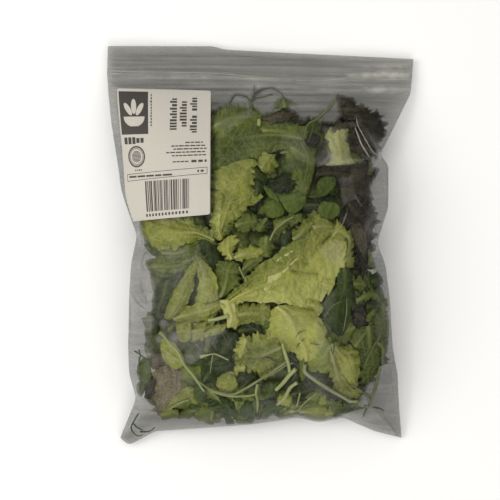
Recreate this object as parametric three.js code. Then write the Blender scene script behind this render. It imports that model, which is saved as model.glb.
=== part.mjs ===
// A clear press-seal polythene bag packed with mixed salad leaves, lying on its back on a table.
// The pouch is one closed body out to the outer face of its film, which is drawn over the leaves inside.
// A printed paper label is stuck on its upper left. Units are millimetres: X runs across the bag,
// Y from its foot to its mouth and Z up from the table, with the origin under its middle.
import * as THREE from "three";

// Driving sizes of the pouch
const HALF_WIDTH = 102; // from the middle line out to each end of the mouth
const HALF_LENGTH = 132.5; // from the middle of the bag up to its lip and down to its lowest corner
const SEAM_THICKNESS = 0.6; // the two films where they are welded together
const MOUTH_THICKNESS = 0.9; // the two films lying together above the neck
const FRONT_BULGE = 28; // how far the leaves lift the front film over the seams
const SIDE_LIFT = 19; // height of the side seams halfway up the bag
const CORNER_LIFT = 1.8; // height of the seams at the two lower corners
const FOOT_LIFT = 8; // extra height of the foot fold in the middle
const NECK_LIFT = 5; // height of the seams at the ends of the neck
const NECK_RISE = 6; // extra height of the neck in the middle
const LIP_LIFT = 3; // height of the open lips
const FLAT_REACH = 36; // how far in from a seam the back film meets the table
const FLAT_RADIUS = 26; // the patch in the middle of the back that lies flat

// Each side seam from the lip down to the corner, as a height up the bag and how far the seam is drawn
// in from HALF_WIDTH. The tight places are where the film is folded in by the load.
const LEFT_SEAM = [
  [132.5, 0.4], [114, 0], [101, 1], [80, 3.3], [56, 7.3], [36, 10], [24, 14], [6, 20.5],
  [-12.5, 16.5], [-34, 15.2], [-66, 14.5], [-85, 15], [-102, 19.5], [-128.5, 8.6],
];
const RIGHT_SEAM = [
  [123.8, 0], [101, 2], [59.5, 22.8], [53.5, 17.2], [25, 17.5], [1, 25.1],
  [-12.5, 19.5], [-36, 16.5], [-67, 14.5], [-85, 11.2], [-108, 9.9], [-128.5, 7.9],
];

// The foot fold from left to right, as a place across the bag and its rise over the lowest corner
const FOOT = [
  [-93.4, 4], [-89.2, 0], [-85.8, 0], [-70, 8.6], [-7, 13.2], [25, 17.9], [39, 14.6], [55, 17.9], [76, 8.6], [94.1, 4],
];

// The lip from left to right, as a place across the bag and its drop under the highest point
const LIP = [[-101.6, 0], [-32, 0], [-24, 2.3], [102, 8.7]];

// The press-seal runs across under the lip, and the leaves begin under the neck
const ZIP_LEFT = 114.8;
const ZIP_RIGHT = 111.5;
const ZIP_SAG = { place: 36, depth: 3, reach: 34 };
const ZIP_HALF_WIDTH = 1.7;
const ZIP_HEIGHT = 0.8;
const NECK_LEFT = 106;
const NECK_RIGHT = 101;

// Larger leaves that press the front film out: middle, length, width, turn in degrees and lift
const PRESSED_LEAVES = [
  { x: -2, y: 69, length: 66, width: 34, turn: -8, lift: 2.2 },
  { x: -18, y: 32, length: 52, width: 26, turn: 62, lift: 2.4 },
  { x: -52, y: 4, length: 42, width: 18, turn: 12, lift: 1.6 },
  { x: 16, y: -16, length: 92, width: 46, turn: 30, lift: 3.2 },
  { x: 20, y: -60, length: 58, width: 40, turn: -62, lift: 2.4 },
  { x: 56, y: -81, length: 42, width: 22, turn: -56, lift: 2.2 },
  { x: -53, y: -30, length: 48, width: 13, turn: 60, lift: 1.8 },
  { x: -34, y: -23, length: 36, width: 15, turn: -76, lift: 1.7 },
  { x: 69, y: -43, length: 42, width: 22, turn: 72, lift: 1.8 },
  { x: 68, y: 76, length: 36, width: 24, turn: 62, lift: 1.8 },
  { x: 63, y: 20, length: 38, width: 24, turn: 75, lift: 1.8 },
  { x: 20, y: 28, length: 34, width: 17, turn: 10, lift: 1.8 },
  { x: -10, y: -98, length: 44, width: 17, turn: 5, lift: 1.6 },
  { x: -60, y: -92, length: 42, width: 22, turn: 60, lift: 1.4 },
  { x: 50, y: -36, length: 44, width: 18, turn: 72, lift: 1.6 },
];

// Sharp folds of the front film, from one end to the other, with their height and half width
const FOLDS = [
  { from: [62, 84], to: [79, 58], height: 2.4, reach: 3.8 },
  { from: [34, 52], to: [73, 57], height: 2.2, reach: 4.2 },
  { from: [52, 13], to: [58, 27], height: 1.3, reach: 3.6 },
  { from: [-77, -12], to: [-43, -6], height: 1.6, reach: 3.8 },
  { from: [-42, -6], to: [-26, 4], height: 1.4, reach: 3.6 },
  { from: [-27, -59], to: [-40, -78], height: 1.8, reach: 4.0 },
  { from: [28, -81], to: [60, -103], height: 2.0, reach: 3.8 },
  { from: [37, -50], to: [48, -70], height: 1.5, reach: 3.8 },
  { from: [-84, -30], to: [-73, -42], height: 1.6, reach: 3.8 },
  { from: [-79, -10], to: [-73, -42], height: 1.4, reach: 4.0 },
  { from: [-71, -38], to: [-70, -72], height: 1.3, reach: 3.6 },
  { from: [-30, 53], to: [-29, 5], height: 1.2, reach: 3.6 },
  { from: [72, -105], to: [92, -127], height: 1.4, reach: 3.6 },
  { from: [-84, -102], to: [-91, -127], height: 1.2, reach: 3.6 },
];

// Places where the seams are drawn in, from which short folds spread inwards
const GATHERS = [
  { x: -81.5, y: 6, facing: 0 },
  { x: 79, y: 59.5, facing: 180 },
  { x: 77, y: 1, facing: 180 },
  { x: -82.5, y: -102, facing: 25 },
  { x: 25, y: -114.5, facing: 90 },
  { x: 55, y: -114.5, facing: 90 },
];
const GATHER_FOLDS = 3;
const GATHER_SPREAD = 34; // degrees between neighbouring folds
const GATHER_LENGTH = 30;
const GATHER_HEIGHT = 1.5;
const GATHER_REACH = 3.4;

// The label: its right edge on the pouch, how its ends lean, and its own paper size
const LABEL_RIGHT = -32.7;
const LABEL_TOP = 102.3;
const LABEL_BOTTOM = 19.8;
const LABEL_WIDTH = 63;
const LABEL_TOP_LEAN = -0.032;
const LABEL_BOTTOM_LEAN = 0.085;
const LABEL_THICKNESS = 0.3;
const LABEL_GAP = 0.4;

// How finely the surfaces are drawn
const ACROSS = 58; // cells across the front film, an even number
const BODY_ROWS = 62; // rows of cells from the foot to the neck
const HEADER_ROWS = 8; // rows of cells from the neck to the lip, which total an even number
const LABEL_COLUMNS = 14;
const LABEL_ROWS = 20;

const mix = (a, b, t) => a + (b - a) * t;
const clamp = (x) => Math.min(1, Math.max(0, x));
const smooth = (x) => clamp(x) ** 2 * (3 - 2 * clamp(x));
const radians = THREE.MathUtils.degToRad;

// The value at x of a line through knots that are sorted either way.
function along(knots, x) {
  const rising = knots[0][0] < knots[knots.length - 1][0] ? knots : [...knots].reverse();
  let k = 1;
  while (k < rising.length - 1 && rising[k][0] < x) k++;
  const [x0, y0] = rising[k - 1];
  const [x1, y1] = rising[k];
  return mix(y0, y1, clamp((x - x0) / (x1 - x0)));
}

const leftSeam = (y) => along(LEFT_SEAM, y) - HALF_WIDTH;
const rightSeam = (y) => HALF_WIDTH - along(RIGHT_SEAM, y);
const [FOOT_START, FOOT_END] = [FOOT[0][0], FOOT[FOOT.length - 1][0]];
const footAt = (u) => along(FOOT, mix(FOOT_START, FOOT_END, u)) - HALF_LENGTH;
const lipAt = (u) => HALF_LENGTH - along(LIP, mix(-HALF_WIDTH, HALF_WIDTH, u));
const neckAt = (u) => mix(NECK_LEFT, NECK_RIGHT, u);

function zipAt(u) {
  const off = (mix(-HALF_WIDTH, HALF_WIDTH, u) - ZIP_SAG.place) / ZIP_SAG.reach;
  return mix(ZIP_LEFT, ZIP_RIGHT, u) - ZIP_SAG.depth * Math.exp(-off * off);
}

// How high up the bag the row at level t is, at u across it. Levels 0 to 1 run from the foot to the neck,
// and levels 1 to 2 from the neck to the lip, with the press-seal at level 1.5.
function rowHeight(u, t) {
  if (t <= 1) return mix(footAt(u), neckAt(u), t);
  const zipRow = 1.5;
  return t <= zipRow ? mix(neckAt(u), zipAt(u), (t - 1) * 2) : mix(zipAt(u), lipAt(u), (t - zipRow) * 2);
}

// The point of the plan at u across the bag and level t.
function planPoint(u, t) {
  const y = rowHeight(u, t);
  return [mix(leftSeam(rowHeight(0, t)), rightSeam(rowHeight(1, t)), u), y];
}

// The place across the bag and the level that a point of the plan belongs to.
function placeOf(x, y) {
  let u = (x + HALF_WIDTH) / (2 * HALF_WIDTH);
  let t = 0.5;
  for (let step = 0; step < 8; step++) {
    t = (y - footAt(u)) / (neckAt(u) - footAt(u));
    const [left, right] = [leftSeam(rowHeight(0, t)), rightSeam(rowHeight(1, t))];
    u = clamp((x - left) / (right - left));
  }
  return [u, t];
}

// A mountain fold along a segment, which fades out towards both of its ends.
function fold(x, y, from, to, height, reach) {
  const [dx, dy] = [to[0] - from[0], to[1] - from[1]];
  const length = Math.hypot(dx, dy);
  const run = ((x - from[0]) * dx + (y - from[1]) * dy) / length;
  const off = ((x - from[0]) * dy - (y - from[1]) * dx) / length;
  const fade = smooth((run + reach) / (2 * reach)) * smooth((length - run + reach) / (2 * reach));
  return height * fade * Math.exp(-((off / reach) ** 2));
}

function pressedLeaf(x, y, leaf) {
  const [c, s] = [Math.cos(radians(leaf.turn)), Math.sin(radians(leaf.turn))];
  const run = ((x - leaf.x) * c + (y - leaf.y) * s) / (leaf.length / 2);
  const off = ((y - leaf.y) * c - (x - leaf.x) * s) / (leaf.width / 2);
  const reach = run * run + off * off;
  const midrib = 0.35 * Math.exp(-((off * 4) ** 2));
  return (leaf.lift * (1 + midrib)) / (1 + reach ** 3);
}

function gather(x, y, { x: gx, y: gy, facing }) {
  let height = 0;
  for (let k = 0; k < GATHER_FOLDS; k++) {
    const angle = radians(facing + GATHER_SPREAD * (k - (GATHER_FOLDS - 1) / 2));
    const end = [gx + GATHER_LENGTH * Math.cos(angle), gy + GATHER_LENGTH * Math.sin(angle)];
    height += fold(x, y, [gx, gy], end, GATHER_HEIGHT, GATHER_REACH);
  }
  return height;
}

// The uneven swell of loose leaves, from -1 to 1.
function swell(x, y) {
  const waves = [[0.083, 0.061, 0.4], [-0.071, 0.128, 2.1], [0.171, -0.044, 4.0], [0.118, 0.197, 1.2]];
  return waves.reduce((sum, [kx, ky, start]) => sum + Math.sin(kx * x + ky * y + start), 0) / waves.length;
}

// 1 under the label, which holds the film smooth, and 0 away from it.
function underLabel(x, y) {
  const edge = 6;
  const over = smooth((LABEL_RIGHT + edge - x) / edge);
  return over * smooth((y - LABEL_BOTTOM + 2 * edge) / edge) * smooth((LABEL_TOP + edge - y) / edge);
}

// How far a point is in from the seams, the foot and the neck, as a share of reach, up to 1.
function inFromSeams(u, t, reach, ease = smooth) {
  const [left, right] = [leftSeam(rowHeight(0, t)), rightSeam(rowHeight(1, t))];
  const sideways = Math.min(u, 1 - u) * (right - left);
  const lengthways = Math.min(t, 1 - t) * (neckAt(u) - footAt(u));
  return ease(sideways / reach) * ease(lengthways / reach);
}

// Height of the welded seam line, carried smoothly across the pouch.
function seamLift(u, t) {
  if (t > 1) {
    const wave = 0.8 * Math.sin(7 * u + 1.2) + 0.4 * Math.sin(17 * u);
    const atNeck = NECK_LIFT + NECK_RISE * Math.sin(Math.PI * u);
    return mix(atNeck, LIP_LIFT + wave, smooth(t - 1));
  }
  const side = mix(CORNER_LIFT, NECK_LIFT, t) + SIDE_LIFT * Math.sin(Math.PI * t) ** 0.8;
  const foot = FOOT_LIFT * Math.sin(Math.PI * u) ** 0.8;
  const neck = NECK_RISE * Math.sin(Math.PI * u);
  return side + foot * (1 - t) ** 4 + neck * t ** 4;
}

function bulge(u, t) {
  if (t >= 1) return 0;
  const across = 1 - Math.abs(2 * u - 1) ** 3.2;
  const lengthways = 1 - Math.abs(2 * t ** 0.95 - 1) ** 3.6;
  return FRONT_BULGE * across * lengthways;
}

function frontRelief(x, y, u, t) {
  if (t >= 1) return 0;
  const swollen = 2 + 2.2 * swell(x, y);
  const leaves = PRESSED_LEAVES.reduce((sum, leaf) => sum + pressedLeaf(x, y, leaf), 0);
  const folds = FOLDS.reduce((sum, f) => sum + fold(x, y, f.from, f.to, f.height, f.reach), 0);
  const gathers = GATHERS.reduce((sum, g) => sum + gather(x, y, g), 0);
  const deep = inFromSeams(u, t, 16) * swollen + inFromSeams(u, t, 10) * leaves;
  const sharp = inFromSeams(u, t, 5) * (folds + gathers);
  return (deep + sharp) * (1 - underLabel(x, y));
}

// The press-seal stands out of both films as a low rib.
function zipRib(y, u) {
  return ZIP_HEIGHT * smooth(1.5 - Math.abs(y - zipAt(u)) / ZIP_HALF_WIDTH);
}

function frontHeight(x, y, u, t) {
  const lifted = seamLift(u, t) + bulge(u, t) + frontRelief(x, y, u, t);
  const mouth = clamp((t - 1) * 8);
  return lifted + mix(SEAM_THICKNESS, MOUTH_THICKNESS, mouth) / 2 + mouth * zipRib(y, u);
}

// The back film hangs from the seams to the table. It lies flat in the middle, and in patches between
// low ripples around that.
function backHeight(x, y, u, t) {
  const mouth = clamp((t - 1) * 8);
  const under = mix(SEAM_THICKNESS, MOUTH_THICKNESS, mouth) / 2 + mouth * zipRib(y, u);
  if (t >= 1) return seamLift(u, t) - under;
  const down = inFromSeams(u, t, FLAT_REACH, (d) => 1 - (1 - clamp(d)) ** 2);
  const loose = smooth(Math.hypot(x, y) / FLAT_RADIUS - 1);
  const ripples = 2 * down * loose * (swell(1.3 * x + 40, 1.3 * y) - 0.1);
  return Math.max(0, (seamLift(u, t) - under) * (1 - down) + ripples);
}

// A value of t for each line of the grid, with the lines closer together towards the ends of the pouch.
function levels() {
  const list = [];
  for (let j = 0; j <= BODY_ROWS; j++) {
    const t = j / BODY_ROWS;
    list.push(mix(t, (1 - Math.cos(Math.PI * t)) / 2, 0.3));
  }
  const ribRows = [1.2, 1.38, 1.455, 1.5, 1.545, 1.66, 1.83, 2];
  return [...list, ...ribRows.slice(0, HEADER_ROWS)];
}

function columns() {
  return Array.from({ length: ACROSS + 1 }, (_, i) => {
    const u = i / ACROSS;
    return mix(u, (1 - Math.cos(Math.PI * u)) / 2, 0.3);
  });
}

// A closed mesh from its points and the corners of its polygons. Each polygon is fanned from its first point.
function closedMesh(points, polygons) {
  const index = polygons.flatMap((p) => p.slice(2).flatMap((_, k) => [p[0], p[k + 1], p[k + 2]]));
  const geometry = new THREE.BufferGeometry();
  geometry.setAttribute("position", new THREE.Float32BufferAttribute(points.flat(), 3));
  geometry.setIndex(index);
  geometry.computeVertexNormals();
  return geometry;
}

// The front film is drawn finely. The back film has cells twice as large, and its outer cells take in
// every point of the shared seam, so that the two films close on each other.
function pouchGeometry() {
  const [us, ts] = [columns(), levels()];
  const [nu, nt] = [us.length, ts.length];
  const front = [];
  const back = [];
  for (const t of ts) {
    for (const u of us) {
      const [x, y] = planPoint(u, t);
      front.push([x, y, frontHeight(x, y, u, t)]);
      back.push([x, y, backHeight(x, y, u, t)]);
    }
  }
  const onFront = (i, j) => j * nu + i;
  const onBack = (i, j) => nu * nt + j * nu + i;
  const faces = [];
  for (let j = 0; j < nt - 1; j++) {
    for (let i = 0; i < nu - 1; i++) {
      faces.push([onFront(i, j), onFront(i + 1, j), onFront(i + 1, j + 1), onFront(i, j + 1)]);
    }
  }
  for (let j = 0; j < nt - 1; j += 2) {
    for (let i = 0; i < nu - 1; i += 2) {
      const ring = [onBack(i, j)];
      if (i === 0) ring.push(onBack(i, j + 1));
      ring.push(onBack(i, j + 2));
      if (j + 2 === nt - 1) ring.push(onBack(i + 1, j + 2));
      ring.push(onBack(i + 2, j + 2));
      if (i + 2 === nu - 1) ring.push(onBack(i + 2, j + 1));
      ring.push(onBack(i + 2, j));
      if (j === 0) ring.push(onBack(i + 1, j));
      // Fanning from a point in the middle of a side keeps every triangle open
      const middles = [onBack(i, j + 1), onBack(i + 1, j + 2), onBack(i + 2, j + 1), onBack(i + 1, j)];
      const start = Math.max(0, ring.findIndex((p) => middles.includes(p)));
      faces.push([...ring.slice(start), ...ring.slice(0, start)]);
    }
  }
  const seam = [];
  for (let i = 0; i < nu - 1; i++) seam.push([i, 0, i + 1, 0]);
  for (let j = 0; j < nt - 1; j++) seam.push([nu - 1, j, nu - 1, j + 1]);
  for (let i = nu - 1; i > 0; i--) seam.push([i, nt - 1, i - 1, nt - 1]);
  for (let j = nt - 1; j > 0; j--) seam.push([0, j, 0, j - 1]);
  for (const [i0, j0, i1, j1] of seam) {
    faces.push([onBack(i0, j0), onBack(i1, j1), onFront(i1, j1), onFront(i0, j0)]);
  }
  return closedMesh([...front, ...back], faces);
}

// The label is laid from its right edge leftwards by paper length, so that it bends with the pouch and
// looks narrower from above where the film falls away.
function labelGeometry() {
  const filmHeight = (x, y) => frontHeight(x, y, ...placeOf(x, y));
  const [nu, nt] = [LABEL_COLUMNS + 1, LABEL_ROWS + 1];
  const probe = 0.5;
  const under = [];
  for (let j = 0; j < nt; j++) {
    const up = j / LABEL_ROWS;
    const lean = mix(LABEL_BOTTOM_LEAN, LABEL_TOP_LEAN, up);
    let [x, y] = [LABEL_RIGHT, mix(LABEL_BOTTOM, LABEL_TOP, up)];
    for (let i = 0; i < nu; i++) {
      under.push([x, y, filmHeight(x, y) + LABEL_GAP]);
      const slope = (filmHeight(x, y) - filmHeight(x - probe, y - probe * lean)) / probe;
      const step = LABEL_WIDTH / LABEL_COLUMNS / Math.hypot(1, lean, slope);
      x -= step;
      y -= step * lean;
    }
  }
  const over = under.map(([x, y, z]) => [x, y, z + LABEL_THICKNESS]);
  const low = (i, j) => j * nu + i;
  const high = (i, j) => nu * nt + low(i, j);
  const faces = [];
  for (let j = 0; j < nt - 1; j++) {
    for (let i = 0; i < nu - 1; i++) {
      faces.push([high(i, j), high(i, j + 1), high(i + 1, j + 1), high(i + 1, j)]);
      faces.push([low(i, j), low(i + 1, j), low(i + 1, j + 1), low(i, j + 1)]);
    }
  }
  for (let i = 0; i < nu - 1; i++) {
    faces.push([low(i, 0), high(i, 0), high(i + 1, 0), low(i + 1, 0)]);
    faces.push([low(i + 1, nt - 1), high(i + 1, nt - 1), high(i, nt - 1), low(i, nt - 1)]);
  }
  for (let j = 0; j < nt - 1; j++) {
    faces.push([low(0, j + 1), high(0, j + 1), high(0, j), low(0, j)]);
    faces.push([low(nu - 1, j), high(nu - 1, j), high(nu - 1, j + 1), low(nu - 1, j + 1)]);
  }
  return closedMesh([...under, ...over], faces);
}

const filledFilm = new THREE.MeshStandardMaterial({ color: 0x7f8a52, roughness: 0.35, metalness: 0 });
const paper = new THREE.MeshStandardMaterial({ color: 0xd2cdc0, roughness: 0.8, metalness: 0 });

const bag = new THREE.Mesh(pouchGeometry(), filledFilm);
bag.name = "bag";
const label = new THREE.Mesh(labelGeometry(), paper);
label.name = "label";

const saladBag = new THREE.Group();
saladBag.add(bag, label);

export default saladBag;
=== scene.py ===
"""A clear press-seal bag of mixed salad leaves, lying on its back with its label up.

The script goes in the order the pack is put together: the leaves and stems that lie loose in the pouch,
the film drawn over them, the paper label with its print, and then the table, the lights and the camera.
Sizes are millimetres in the bag's own frame, and meshes are made in metres."""

import math

import bmesh
import bpy
import numpy as np
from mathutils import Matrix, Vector, noise
from mathutils.bvhtree import BVHTree


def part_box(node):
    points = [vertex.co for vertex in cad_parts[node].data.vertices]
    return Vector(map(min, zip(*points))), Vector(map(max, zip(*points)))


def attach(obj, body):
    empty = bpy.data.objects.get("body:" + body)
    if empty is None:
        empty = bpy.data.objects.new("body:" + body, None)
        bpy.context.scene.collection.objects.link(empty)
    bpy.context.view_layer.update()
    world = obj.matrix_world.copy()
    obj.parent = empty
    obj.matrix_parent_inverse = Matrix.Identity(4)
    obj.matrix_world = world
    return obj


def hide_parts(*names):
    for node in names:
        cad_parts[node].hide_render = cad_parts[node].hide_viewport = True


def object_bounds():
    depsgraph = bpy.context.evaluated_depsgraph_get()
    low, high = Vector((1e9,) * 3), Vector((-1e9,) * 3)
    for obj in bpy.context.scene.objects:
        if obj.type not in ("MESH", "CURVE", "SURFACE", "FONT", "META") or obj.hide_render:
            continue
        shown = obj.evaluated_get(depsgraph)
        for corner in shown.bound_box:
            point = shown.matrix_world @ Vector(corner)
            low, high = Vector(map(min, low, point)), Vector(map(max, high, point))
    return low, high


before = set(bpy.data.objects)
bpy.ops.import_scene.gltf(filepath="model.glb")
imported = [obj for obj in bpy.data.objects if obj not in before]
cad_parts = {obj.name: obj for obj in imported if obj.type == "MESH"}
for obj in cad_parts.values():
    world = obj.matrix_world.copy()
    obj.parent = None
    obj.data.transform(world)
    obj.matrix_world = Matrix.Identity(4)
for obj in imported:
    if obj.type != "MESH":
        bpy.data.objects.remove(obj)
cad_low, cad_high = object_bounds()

MM = 0.001


# The room in the pouch
# The pouch is two sheets of film, welded down both sides and along the foot. The leaves lie loose in it,
# so the heights of the front and the back film over each point of the table are measured first.
ROOM_STEP = 1.0
UNDER_FRONT = 1.3  # the film's own creases take up this much under the front
OVER_BACK = 1.0
WELL_INSIDE = ((-70, 70), (-105, 88))  # where the pouch has room for a whole leaf

room_low, room_high = np.array(cad_low[:2]) / MM - 1, np.array(cad_high[:2]) / MM + 1
room_count = np.ceil((room_high - room_low) / ROOM_STEP).astype(int) + 1
pouch_tree = BVHTree.FromPolygons(
    [v.co.copy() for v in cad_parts["bag"].data.vertices],
    [tuple(p.vertices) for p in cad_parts["bag"].data.polygons],
)


def measure_room():
    """Grids of the height of the front and the back film, in mm, which are equal outside the pouch."""
    front = np.zeros((room_count[1], room_count[0]))
    back = np.zeros_like(front)
    for j in range(room_count[1]):
        for i in range(room_count[0]):
            x, y = (room_low + ROOM_STEP * np.array([i, j])) * MM
            over = pouch_tree.ray_cast(Vector((x, y, 1)), Vector((0, 0, -1)))[0]
            if over is not None:
                under = pouch_tree.ray_cast(Vector((x, y, -1)), Vector((0, 0, 1)))[0]
                front[j, i], back[j, i] = over.z / MM, under.z / MM
    return front, back


front_film, back_film = measure_room()


def between_cells(grid, u, v):
    """What a grid holds at columns u and rows v that may lie between four of its cells."""
    i, j = u.astype(int), v.astype(int)
    u, v = u - i, v - j
    if grid.ndim > 2:
        u, v = u[:, None], v[:, None]
    low = grid[j, i] * (1 - u) + grid[j, i + 1] * u
    high = grid[j + 1, i] * (1 - u) + grid[j + 1, i + 1] * u
    return low * (1 - v) + high * v


def on_grid(grid, x, y):
    """The value of a room grid at points in mm."""
    u = np.clip((x - room_low[0]) / ROOM_STEP, 0, grid.shape[1] - 1.001)
    v = np.clip((y - room_low[1]) / ROOM_STEP, 0, grid.shape[0] - 1.001)
    return between_cells(grid, u, v)


def cells_at(x, y):
    """The row and the column of the room grid's nearest cell, for points in mm."""
    column, row = (np.clip(((place - low) / ROOM_STEP).round().astype(int), 0, count - 1)
                   for place, low, count in zip((x, y), room_low, room_count))
    return row, column


def into_pouch(x, y, room=2.5):
    """Points that the film leaves less room than this are drawn towards the middle of their own leaf."""
    x, y = np.array(x, float), np.array(y, float)
    middle = np.clip(x.mean(), *WELL_INSIDE[0]), np.clip(y.mean(), *WELL_INSIDE[1])
    for _ in range(30):
        tight = on_grid(front_film, x, y) - on_grid(back_film, x, y) < room
        if not tight.any():
            break
        x[tight] += (middle[0] - x[tight]) * 0.05
        y[tight] += (middle[1] - y[tight]) * 0.05
    return x, y


def height_at(x, y, depth):
    """The height of what lies at this depth under the front film. Depths fade out above the back film."""
    over, under = on_grid(front_film, x, y), on_grid(back_film, x, y)
    middle = (over + under) / 2
    top, floor = np.maximum(over - UNDER_FRONT, middle), np.minimum(under + OVER_BACK, middle)
    room = np.maximum(top - floor, 0.2)
    return floor + room * np.exp(-np.maximum(depth, 0) / room)


# Lettuce leaves
# Loose leaves of batavia lettuce, light green with a pale, thick midrib and a frilled rim. Each is one thin
# wavy sheet that runs along a spine and is pressed against the film or lies deeper between other leaves.
random = np.random.default_rng(11)
LEAF_THICKNESS = 0.35
BLISTERS = ((8.5, 0.9), (4.2, 0.35))  # how wide and how high the skin between the veins stands up
SIDE_RIBS = (7.5, 0.6, 0.6)  # how far apart the side ribs are, how high, and how much they slant to the tip
FEWEST_AND_MOST_ROWS, FEWEST_AND_MOST_COLUMNS = (10, 160), (8, 90)  # of one leaf's mesh
NO_TOP, NO_BOTTOM = -1.0, 1e3  # what the next two grids hold where no leaf lies
kept_tops = np.full_like(front_film, NO_TOP)
kept_bottoms = np.full_like(front_film, NO_BOTTOM)


def smooth(x):
    """A soft step from 0 to 1 while x goes from 0 to 1."""
    x = np.clip(x, 0, 1)
    return x * x * (3 - 2 * x)


def through(values, t):
    """A smooth curve through equally spaced values, at places t from 0 to 1. Values may be points."""
    values = np.asarray(values, float)
    last = len(values) - 1
    place = np.clip(t, 0, 1) * last
    k = np.minimum(place.astype(int), last - 1)
    f = place - k
    if values.ndim > 1:
        f = f[:, None]
    before, a, b, after = (values[np.clip(k + d, 0, last)] for d in (-1, 0, 1, 2))
    in_slope, out_slope = (b - before) / 2, (after - a) / 2
    f2, f3 = f * f, f * f * f
    start, end = (2 * f3 - 3 * f2 + 1) * a, (3 * f2 - 2 * f3) * b
    return start + (f3 - 2 * f2 + f) * in_slope + end + (f3 - f2) * out_slope


def even_places(points, count):
    """Equally spaced places along a smooth curve through points."""
    fine = through(points, np.linspace(0, 1, 240))
    run = np.concatenate([[0], np.cumsum(np.hypot(*np.diff(fine, axis=0).T))])
    at = np.linspace(0, run[-1], count)
    return np.stack([np.interp(at, run, fine[:, k]) for k in (0, 1)], axis=1)


def waver(x, y, seed):
    """A slow, uneven wave from -1 to 1 over points in mm, scaled to about 1 unit."""
    pick = np.random.default_rng(seed)
    total = np.zeros_like(x)
    for _ in range(5):
        angle, pace, start = pick.uniform(0, 2 * math.pi), pick.uniform(0.6, 1.5), pick.uniform(0, 6.3)
        total += np.sin(pace * (x * math.cos(angle) + y * math.sin(angle)) * 2 * math.pi + start)
    return total / 3


def put_in_scene(name, data):
    """A new object of that data at the origin."""
    piece = bpy.data.objects.new(name, data)
    bpy.context.scene.collection.objects.link(piece)
    return piece


def keep_marks(mesh, **marks):
    """Keeps one number for each point of a mesh under each name, for materials and node trees to read."""
    for name, values in marks.items():
        layer = mesh.attributes.new(name, "FLOAT", "POINT")
        layer.data.foreach_set("value", np.ascontiguousarray(values, np.float32))


class Leaves:
    """The mesh of one kind of leaf, gathered leaf by leaf."""

    def __init__(self):
        self.points, self.faces, self.places, self.marks, self.count = [], [], [], [], 0

    def keep(self, points, faces, places, marks):
        """Adds one leaf, and notes how high and how low it lies."""
        self.points.append(points)
        self.faces.append(faces + self.count)
        self.places.append(places)
        self.marks.append(marks)
        self.count += len(points)
        cells = cells_at(points[:, 0], points[:, 1])
        np.maximum.at(kept_tops, cells, points[:, 2])
        np.minimum.at(kept_bottoms, cells, points[:, 2])

    def make(self, name, material):
        """One object of all the leaves, with their UV map in cm and their marks as attributes."""
        mesh = bpy.data.meshes.new(name)
        points, faces = np.concatenate(self.points) * MM, np.concatenate(self.faces)
        mesh.from_pydata(points.tolist(), [], faces.tolist())
        corner_places = np.concatenate(self.places)[faces.ravel()] / 10
        mesh.uv_layers.new(name="leaf").data.foreach_set("uv", corner_places.astype(np.float32).ravel())
        keep_marks(mesh, **dict(zip(("rib", "rim", "tone"), np.concatenate(self.marks).T)))
        mesh.shade_smooth()
        mesh.materials.append(material)
        return put_in_scene(name, mesh)


def both_faces(points, rows, columns, thickness):
    """A closed thin sheet from a grid of points: its points, and its triangles, alike on both faces."""
    grid = points.reshape(rows, columns, 3)
    outward = np.cross(np.gradient(grid, axis=0), np.gradient(grid, axis=1)).reshape(-1, 3)
    outward /= np.maximum(np.linalg.norm(outward, axis=1), 1e-9)[:, None]
    half = outward * thickness.reshape(-1, 1) / 2
    corner = np.arange(rows * columns).reshape(rows, columns)
    a, b = corner[:-1, :-1].ravel(), corner[1:, :-1].ravel()
    c, d = corner[1:, 1:].ravel(), corner[:-1, 1:].ravel()
    upper = np.concatenate([np.stack([a, b, c], 1), np.stack([a, c, d], 1)])
    under = upper[:, ::-1] + rows * columns
    ring = np.concatenate([corner[:, 0], corner[-1, 1:], corner[-2::-1, -1], corner[0, -2:0:-1]])
    after = np.roll(ring, -1)
    low, low_after = ring + rows * columns, after + rows * columns
    wall = np.concatenate([np.stack([ring, low, low_after], 1), np.stack([ring, low_after, after], 1)])
    return np.concatenate([points + half, points - half]), np.concatenate([upper, under, wall])


def ragged(s, length, starts):
    """An uneven wave from about -1 to 1 along a rim."""
    turn = 2 * math.pi * s / length
    slow = np.sin(turn + starts[0] + 1.2 * np.sin(turn / 2.7 + starts[1]))
    quick = np.sin(2.3 * turn + starts[2])
    return (slow + 0.6 * quick + 0.35 * np.sin(5.1 * turn + starts[3])) / 1.6


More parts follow.
